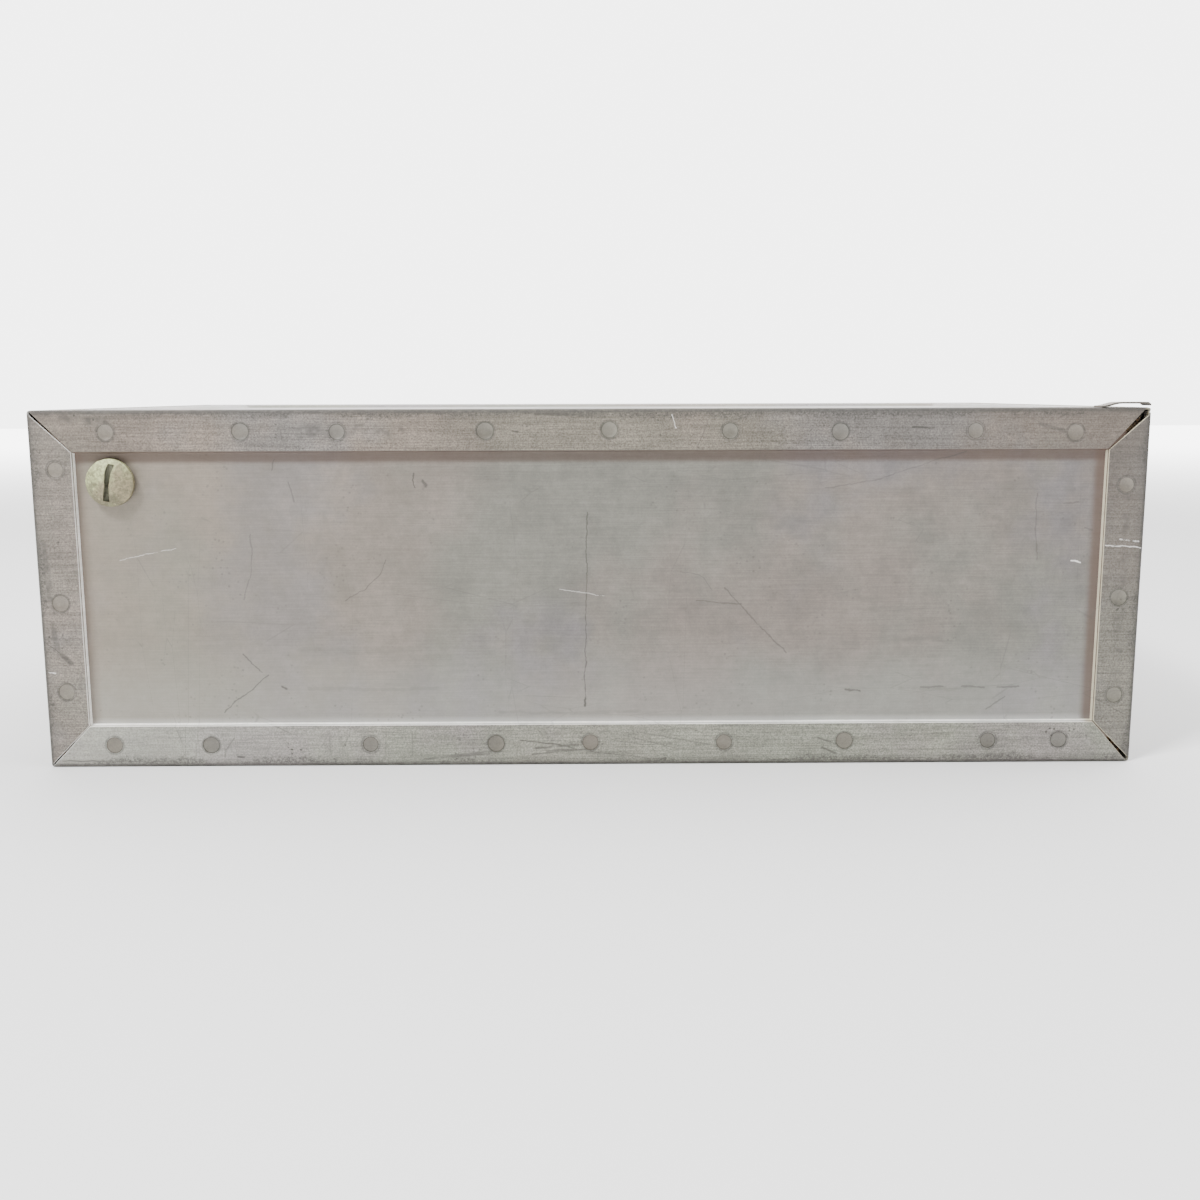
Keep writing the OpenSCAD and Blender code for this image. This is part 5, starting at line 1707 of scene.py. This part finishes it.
@dataclass(frozen=True)
class TurnLock:
    """The slotted head in the front and the shaft behind it."""

    at: Spot = (43.2, 160.0)
    radius: float = 13.0
    height: float = 7.9
    seat: float = 1.7
    rim: float = 2.3
    shaft: float = 5.0
    inner_end: float = 40.3
    lean: float = 11.3
    slot: tuple[float, float, float] = (3.0, 3.2, 20.4)
    slot_sides: tuple[tuple[float, float], ...] = (
        (-0.3, 0.3), (-0.2, 0.0), (0.2, -0.3), (-0.4, -0.4), (-1.0, -0.4), (-0.2, 0.2))

    def dome(self, radius: float) -> float:
        """Height of the dome above the rim at a distance from the axis."""
        crown = self.height - self.seat - self.rim
        return crown * (1 - (radius / self.radius) ** 2)

    def build(self, cast: bpy.types.Material, hollow: bpy.types.Material) -> None:
        """Builds the head: a rim, a dome of rings, cast roughness and a hand-cut slot."""
        back = CASE.recess - self.seat
        head = rod("slotted_head", (0, back, 0), "-Y", self.radius, self.rim, 72)
        with Edit(head) as edit:
            edit.pick(lambda middle, way: way.y < -0.9)
            last = self.radius
            for radius in (12.5, 11.6, 10.1, 8.4, 6.5, 4.4, 2.2):
                rise = self.dome(radius) - self.dome(last)
                bpy.ops.mesh.inset(thickness=(last - radius) * MM, depth=rise * MM)
                last = radius
            bpy.ops.mesh.poke()
        apply_modifier(head, "SUBSURF", subdivision_type="SIMPLE", levels=1, render_levels=1)
        self.roughen(head)
        soften(head, 0.35, 45.0, 2)
        dress(head, cast)
        width, depth, length = self.slot
        front = CASE.recess - self.height
        cutter = block("slot", (-width / 2, front - 1, -length / 2),
                       (width / 2, front + depth, length / 2))
        with Edit(cutter, "EDGE") as edit:
            edit.pick(lambda middle, way: abs(way.z) > 0.9)
            bpy.ops.mesh.subdivide(number_cuts=len(self.slot_sides) - 2)
        with Edit(cutter, "VERT") as edit:
            pace = length / (len(self.slot_sides) - 1)
            for step, sides in enumerate(self.slot_sides):
                level = step * pace - length / 2
                for side, move in zip((-1, 1), sides):
                    edit.pick(lambda middle, way: abs(middle.z - level) < 0.1
                              and middle.x * side > 1)
                    bpy.ops.transform.translate(value=(move * MM, 0, 0))
            edit.pick(lambda middle, way: middle.z < -6 and middle.y > front)
            bpy.ops.transform.translate(value=(0.2 * MM, 0.7 * MM, 0))
            bpy.ops.mesh.select_all(action="SELECT")
            bpy.ops.transform.vertex_random(offset=0.12 * MM, uniform=0.6, normal=0.0, seed=5)
        put(cutter, Matrix.Rotation(math.radians(self.lean), 4, "Y"))
        combine(head, dress(cutter, hollow))
        shaft = rod("shaft", (0, back - 1.0, 0), "Y", self.shaft, self.inner_end - back + 1.0, 40)
        combine(head, dress(shaft, cast), "UNION")
        put(head, Matrix.Translation(CASE.point(self.at[0], 0, self.at[1])))
        smooth(head, 30.0)
        hand_over(head, "lock", "cast_head", "turn_head")

    def roughen(self, head: Piece) -> None:
        """Gives the head the uneven skin of a sand casting."""
        group = head.vertex_groups.new(name="skin")
        for vertex in head.data.vertices:
            group.add([vertex.index], 1.0 if vertex.co.y < 0.0012 else 0.0, "REPLACE")
        texture = bpy.data.textures.new("cast_skin", "CLOUDS")
        texture.noise_scale = 0.0016
        texture.noise_depth = 2
        apply_modifier(head, "DISPLACE", texture=texture, vertex_group="skin",
                       strength=0.36 * MM, mid_level=0.6, texture_coords="LOCAL")


@dataclass(frozen=True)
class DropHandle:
    """One end's plate, lugs, rivets and bail, built for the left end."""

    side: str
    pivot_out: float = 5.2
    pivot_z: float = 123.0
    plate_half: float = 68.0
    plate_rise: float = 18.0
    plate_sheet: float = 2.0
    corner: float = 7.0
    lug_radius: float = 6.5
    lug_half: float = 5.0
    lug_at: float = 45.0
    span: float = 110.0
    drop: float = 42.0
    radius: float = 4.0
    bend: float = 14.0
    grip: float = 5.2
    rivet: float = 3.6

    def placing(self) -> Matrix:
        """From the left end's coordinates, with b from the middle, to the row frame."""
        matrix = CASE.shift()
        if self.side == "right":
            matrix = (matrix @ Matrix.Translation(Vector((CASE.width, 0, 0)) * MM)
                      @ Matrix.Scale(-1, 4, Vector((1, 0, 0))))
        return matrix @ Matrix.Translation(Vector((0, CASE.depth / 2, 0)) * MM)

    def build_plate(self, metal: bpy.types.Material) -> None:
        """Builds the plate with its two lugs."""
        face = CASE.recess
        plate = block("grip_plate_" + self.side,
                      (face - self.plate_sheet, -self.plate_half, self.pivot_z - self.plate_rise),
                      (face, self.plate_half, self.pivot_z + self.plate_rise))
        with Edit(plate, "EDGE") as edit:
            edit.pick(lambda middle, way: abs(way.x) > 0.9)
            bpy.ops.mesh.bevel(offset=self.corner * MM, segments=6, affect="EDGES")
        for y in (-self.lug_at, self.lug_at):
            lug = rod("lug", (-self.pivot_out, y - self.lug_half, self.pivot_z), "Y",
                      self.lug_radius, 2 * self.lug_half, 32)
            root = block("root", (-self.pivot_out, y - self.lug_half,
                                  self.pivot_z - self.lug_radius),
                         (face - 0.5, y + self.lug_half, self.pivot_z + self.lug_radius))
            combine(lug, root, "UNION")
            combine(plate, lug, "UNION")
        soften(plate, 0.4, 50.0)
        put(plate, self.placing())
        smooth(dress(plate, metal), 40.0)
        hand_over(plate, "case", "fitting_alloy", "handle_plate_" + self.side)

    def build_bail(self, metal: bpy.types.Material) -> None:
        """Builds the bail with its thicker grip and its pins."""
        half = self.span / 2
        bail = BentRod(self.radius, half, self.drop, self.bend).build("grip_bow_" + self.side)
        grip_half = half * 0.6
        grip = rod("grip", (0, -grip_half, -self.drop), "Y", self.grip, 2 * grip_half, 32)
        with Edit(grip, "EDGE") as edit:
            edit.pick(lambda middle, way: abs(abs(middle.y) - grip_half) < 0.01)
            bpy.ops.mesh.bevel(offset=1.0 * MM, segments=3, affect="EDGES")
        combine(bail, grip, "UNION")
        inner = self.lug_at - self.lug_half - 1
        for side in (-1, 1):
            pin = rod("pin", (0, side * half, 0), "-Y" if side > 0 else "Y", 3.0, half - inner, 24)
            combine(bail, pin, "UNION")
        at = Matrix.Translation(Vector((-self.pivot_out, 0, self.pivot_z)) * MM)
        put(bail, self.placing() @ at)
        smooth(dress(bail, metal), 40.0)
        hand_over(bail, "handle_" + self.side, "fitting_alloy", "handle_bail_" + self.side)

    def rivets(self) -> list[Piece]:
        """The domed heads of the plate's four rivets."""
        heads = []
        for y in (-60, 60):
            for z in (-11, 11):
                head = rod("rivet", (CASE.recess - self.plate_sheet + 0.3, y, self.pivot_z + z),
                           "-X", self.rivet, 0.5, 24)
                with Edit(head) as edit:
                    edit.pick(lambda middle, way: way.x < -0.9)
                    for share, rise in ((0.45, 0.45), (0.8, 0.3), (1.1, 0.15)):
                        bpy.ops.mesh.inset(thickness=share * MM, depth=rise * MM)
                put(head, self.placing())
                heads.append(head)
        return heads


@dataclass(frozen=True)
class LinerSeams:
    """The soldered corners of the liner."""

    lo: tuple[float, float] = (31.0, 30.0)
    hi: tuple[float, float] = (580.6, 293.0)
    floor: float = 26.0
    top: float = 181.5
    bead: float = 1.3

    def build(self, metal: bpy.types.Material) -> None:
        """Builds four upright and four level beads with uneven skins."""
        beads = []
        for x in (self.lo[0], self.hi[0]):
            beads.append(rod("bead", (x, self.lo[1], self.floor), "Y", self.bead,
                             self.hi[1] - self.lo[1], 10))
            for y in (self.lo[1], self.hi[1]):
                beads.append(rod("bead", (x, y, self.floor), "Z", self.bead,
                                 self.top - self.floor, 10))
        for y in (self.lo[1], self.hi[1]):
            beads.append(rod("bead", (self.lo[0], y, self.floor), "X", self.bead,
                             self.hi[0] - self.lo[0], 10))
        for seed, bead in enumerate(beads):
            long = max(bead.dimensions)
            axis = list(bead.dimensions).index(long)
            with Edit(bead, "EDGE") as edit:
                edit.pick(lambda middle, way: abs(way[axis]) > 0.99)
                bpy.ops.mesh.subdivide(number_cuts=round(long / 0.006))
            with Edit(bead, "VERT"):
                bpy.ops.mesh.select_all(action="SELECT")
                bpy.ops.transform.vertex_random(offset=0.3 * MM, uniform=0.0, normal=1.0,
                                                seed=seed)
        seams = join(beads, "solder_seams")
        put(seams, CASE.shift())
        smooth(dress(seams, metal), 50.0)
        hand_over(seams, "case", "liner_zinc")


@dataclass(frozen=True)
class Studio:
    """The pale floor and the soft light."""

    sky: float = 0.3
    bright: float = 4.0
    bright_way: Colour = (0.45, 0.65, 0.61)
    backdrop: float = 5.0
    key: float = 132.0

    def build(self) -> None:
        """Adds the floor, the sky and the lights."""
        deselect_all()
        bpy.ops.mesh.primitive_plane_add(size=14.0, location=(0, 0, 0))
        floor = named("floor")
        dress(floor, self.floor_finish())
        world = bpy.data.worlds.new("studio")
        world.use_nodes = True
        graph = Graph(world.node_tree)
        seen = graph.add("ShaderNodeLightPath").outputs["Is Camera Ray"]
        way = graph.vector("DOT_PRODUCT", graph.add("ShaderNodeTexCoord").outputs["Generated"],
                           self.bright_way)
        light = graph.span(way, 0.34, 0.66, self.sky, self.bright)
        sky = world.node_tree.nodes["Background"]
        sky.inputs["Color"].default_value = (1.0, 1.0, 1.0, 1.0)
        graph.feed(sky.inputs["Strength"], graph.span(seen, 0.0, 1.0, light, self.backdrop))
        bpy.context.scene.world = world
        self.lamp("key", (-1.35, -1.35, 2.45), 0.7, self.key)

    def floor_finish(self) -> bpy.types.Material:
        """A matt white floor that fades into the backdrop far away."""
        material, graph, shader = new_material("pale_floor")
        tone = graph.noise(graph.place(), 3.0, 2.0)
        far = graph.span(graph.vector("LENGTH", graph.place()), 1.3, 5.0, 0.0, self.backdrop)
        seen = graph.add("ShaderNodeLightPath").outputs["Is Camera Ray"]
        graph.feed(shader.inputs["Emission Color"], (1.0, 1.0, 1.0))
        graph.feed(shader.inputs["Emission Strength"], graph.math("MULTIPLY", far, seen))
        graph.feed(shader.inputs["Base Color"], graph.mix(tone, (0.86,) * 3, (0.88,) * 3))
        shader.inputs["Roughness"].default_value = 0.9
        return material

    def lamp(self, name: str, at: Sequence[float], size: float, power: float) -> None:
        """Adds a square area lamp that faces the middle of the box."""
        data = bpy.data.lights.new(name, "AREA")
        data.energy = power
        data.size = size
        lamp = bpy.data.objects.new(name, data)
        aim = Vector((0, 0, 0.1)) - Vector(at)
        lamp.matrix_world = (Matrix.Translation(Vector(at))
                             @ aim.to_track_quat("-Z", "Y").to_matrix().to_4x4())
        bpy.context.scene.collection.objects.link(lamp)


@dataclass
class Finishes:
    """Every material of the box."""

    effects: Effects = field(default_factory=Effects)

    def __post_init__(self) -> None:
        """Builds the materials."""
        strips = CornerStrips()
        fx = self.effects
        front_y = CASE.front_y
        shelf, left, right = CASE.height - CASE.face_top, -280.2, 281.3
        front = SheetFinish(
            "front_panel", grime_and_shade=0.6, marks_at=front_y + CASE.recess,
            brushed=0.07, grit=0.08,
            # Painted light: lighter and warmer towards the left, where the key lamp stands.
            bands=(EdgeBand("X", left - 60, 0.0, 0.34, (0.36, 0.31, 0.22)),
                   # Painted light: lighter towards the bottom, and a painted highlight as a bright glow
                   # just above the bottom slope.
                   EdgeBand("Z", 24.0, 80.0, 0.2, (0.6, 0.6, 0.57)),
                   EdgeBand("Z", 24.0, 28.5, 0.34, (0.8, 0.8, 0.77)),
                   # Painted shadow: a dark brown band under the top strip.
                   EdgeBand("Z", shelf - 4.7, shelf - 8.0, 0.68, (0.09, 0.055, 0.042)),
                   # Painted shade: darker bands beside the left and right slopes.
                   EdgeBand("X", left, left + 6.0, 0.42),
                   EdgeBand("X", right - 2.0, right - 7.0, 0.8))).shaded(0.72)
        self.front_halves = tuple(
            replace(front, name="front_panel_" + side, marks=tuple(
                mark for mark in PANEL_MARKS
                if any((x - 600) * sign > -40 for x, _ in mark.line))).material(fx)
            for side, sign in (("left", -1), ("right", 1)))
        self.panel = SheetFinish("panel", grime_and_shade=0.6).material(fx)
        rail = SheetFinish("strip", base=(0.247, 0.232, 0.192), warm=(0.27, 0.232, 0.197),
                           cool=(0.243, 0.225, 0.207), pits=1.0, strays=0.55, shake=2.6,
                           brushed=0.2, grit=0.46)
        welds = strips.front_weld_spots()
        # A dark tone for bands that darken the strips, and a light tone that paints light on them.
        dull, painted_light = (0.1, 0.088, 0.078), (0.7, 0.69, 0.66)
        grey = replace(rail, base=(0.241, 0.245, 0.2), warm=(0.255, 0.244, 0.205))
        brown = replace(rail, base=(0.25, 0.225, 0.18), warm=(0.272, 0.225, 0.185))
        # Lit and shaded copies of one strip sheet: the right strip is painted darker and the bottom
        # strip lighter, as painted shade and light. The top strip's band darkens towards its right end
        # as painted shade, away from the key lamp on the left, and the bottom strip's band is painted
        # light at its left end. The other dark bands only darken the top strip's left end and the
        # upright strips towards the top.
        shade_by_side = {"top": (brown.shaded(0.78), (EdgeBand("X", 290, 90, 0.36, dull),
                                             EdgeBand("X", -290, -190, 0.2, dull))),
                "bottom": (grey.shaded(1.07), (EdgeBand("X", -290, -60, 0.2, painted_light),)),
                "left": (rail.shaded(0.84), (EdgeBand("Z", 199, 80, 0.24, dull),)),
                "right": (rail.shaded(0.75), (EdgeBand("Z", 199, 30, 0.6, dull),))}
        self.front_strips = {
            side: replace(shade_by_side[side][0], name="front_strip_" + side, marks=marks,
                          marks_at=front_y, welds=welds[side], bands=shade_by_side[side][1]).material(fx)
            for side, marks in STRIP_MARKS.items()}
        self.strip = rail.material(fx)
        self.weld = SheetFinish(
            "weld_mark", base=(0.196, 0.184, 0.15), warm=(0.21, 0.184, 0.152),
            cool=(0.18, 0.17, 0.15), grime_and_shade=0.5, roughness=0.45, pits=0.75, grit=0.13,
            brushed=0.03).material(fx)
        self.weld_rim = SheetFinish(
            "weld_rim", base=(0.1, 0.097, 0.078), warm=(0.12, 0.105, 0.088),
            cool=(0.08, 0.077, 0.069), grime_and_shade=0.5, pits=1.0, grit=0.3).material(fx)
        self.cut = SheetFinish(
            "cut_edge", base=(0.27, 0.235, 0.19), warm=(0.25, 0.21, 0.165),
            cool=(0.2, 0.18, 0.15), grime_and_shade=0.5, metal=0.1).material(fx)
        # A near-white sheet for the strips' cut edges and the panels' slopes: bare metal on the edges,
        # and a painted highlight on edges and slopes alike. Its band on the right paints the right
        # slope's highlight cream.
        self.clean = SheetFinish(
            "bare_edge_highlight_sheet", base=(0.93, 0.92, 0.87), warm=(0.94, 0.91, 0.87),
            cool=(0.91, 0.90, 0.86), grime_and_shade=0.5, metal=0.2, roughness=0.35, pits=0.2,
            bands=(EdgeBand("X", 281.0, 276.0, 0.75, (0.5, 0.44, 0.27)),)).material(fx)
        self.lid = SheetFinish("lid", grime_and_shade=0.6, roughness=0.34, metal=0.45).material(fx)
        self.zinc = ZincFinish().material(fx)
        # On the head the stain grows towards the lower right, away from the key lamp: partly a tan
        # stain, partly painted shade. The dirt grows towards the lower left.
        self.head = CastFinish(
            "cast_head", (0.54, 0.57, 0.30), (0.33, 0.285, 0.175), (0.09, 0.08, 0.045), 0.3, 0.5,
            620.0, 0.0009, middle=tuple(CASE.point(43.2, 0.0, 160.0)), grained=0.5,
            stain_and_shade_way=(16.0, 0.0, -12.0), soiled=(-11.0, 0.0, -17.0)).material(fx)
        self.slot = CastFinish("slot_hollow", (0.19, 0.19, 0.13), (0.09, 0.082, 0.055),
                               (0.02, 0.018, 0.012), 0.2, 0.8, patch=260.0).material(fx)
        self.alloy = CastFinish("fitting_alloy", (0.36, 0.35, 0.33), (0.27, 0.26, 0.245),
                                (0.07, 0.062, 0.05), 0.85, 0.42, 500.0, 0.00009).material(fx)
        self.steel = CastFinish("aged_steel", (0.33, 0.32, 0.30), (0.22, 0.19, 0.16),
                                (0.09, 0.055, 0.035), 0.9, 0.4, 700.0, 0.00006, 90.0).material(fx)
        self.wood_across = WoodFinish("pine_across", (1.5, 14.0, 14.0)).material(fx)
        self.wood_deep = WoodFinish("pine_deep", (14.0, 1.5, 14.0)).material(fx)
        self.cork = CorkFinish().material()
        self.rubber = RubberFinish().material()

    def dress_nodes(self) -> None:
        """Gives the CAD nodes that stay their materials."""
        plan = {
            self.cork: ("insulation_front", "insulation_back", "insulation_left",
                        "insulation_right", "insulation_floor", "lid_insulation"),
            self.wood_across: ("batten_front", "batten_back", "lid_frame"),
            self.wood_deep: ("batten_left", "batten_right"),
            self.zinc: ("liner_floor", "liner_front", "liner_back", "liner_left", "liner_right",
                        "lid_tray"),
            self.rubber: ("lid_seal",),
            self.steel: ("rim_screws", "hinge_leaf_case", "hinge_leaf_lid", "hinge_pin",
                         "hinge_screws_case", "hinge_screws_lid", "keeper", "keeper_screws",
                         "pull_screws", "lock_sleeve", "lock_washer", "lock_nut", "lock_cam",
                         "cam_screw"),
        }
        for material, nodes in plan.items():
            for node in nodes:
                dress(frame["nodes"][node], material)
                LOG.info("%s keeps its solid", node)


def main() -> None:
    """Builds the finishes, the pieces, the studio and the camera, in that order."""
    logging.basicConfig(level=logging.INFO, format="%(name)s: %(message)s")
    finishes = Finishes()
    finishes.dress_nodes()
    CornerStrips(finishes.cut).build(finishes.front_strips, finishes.strip, finishes.clean,
                                     finishes.weld, finishes.weld_rim)
    Panels().build(finishes.front_halves, finishes.panel, finishes.clean)
    Lid().build(finishes.lid)
    pull = FlushPull()
    pull.build_cup(finishes.alloy)
    pull.build_bail(finishes.alloy)
    TurnLock().build(finishes.head, finishes.slot)
    heads: list[Piece] = []
    for side in ("left", "right"):
        handle = DropHandle(side)
        handle.build_plate(finishes.alloy)
        handle.build_bail(finishes.alloy)
        heads += handle.rivets()
    rivets = smooth(dress(join(heads, "rivet_heads"), finishes.alloy), 40.0)
    hand_over(rivets, "case", "rivet_aluminium", "handle_rivets")
    LinerSeams().build(finishes.zinc)
    Studio().build()
    VIEW.build()


if __name__ == "__main__":
    main()
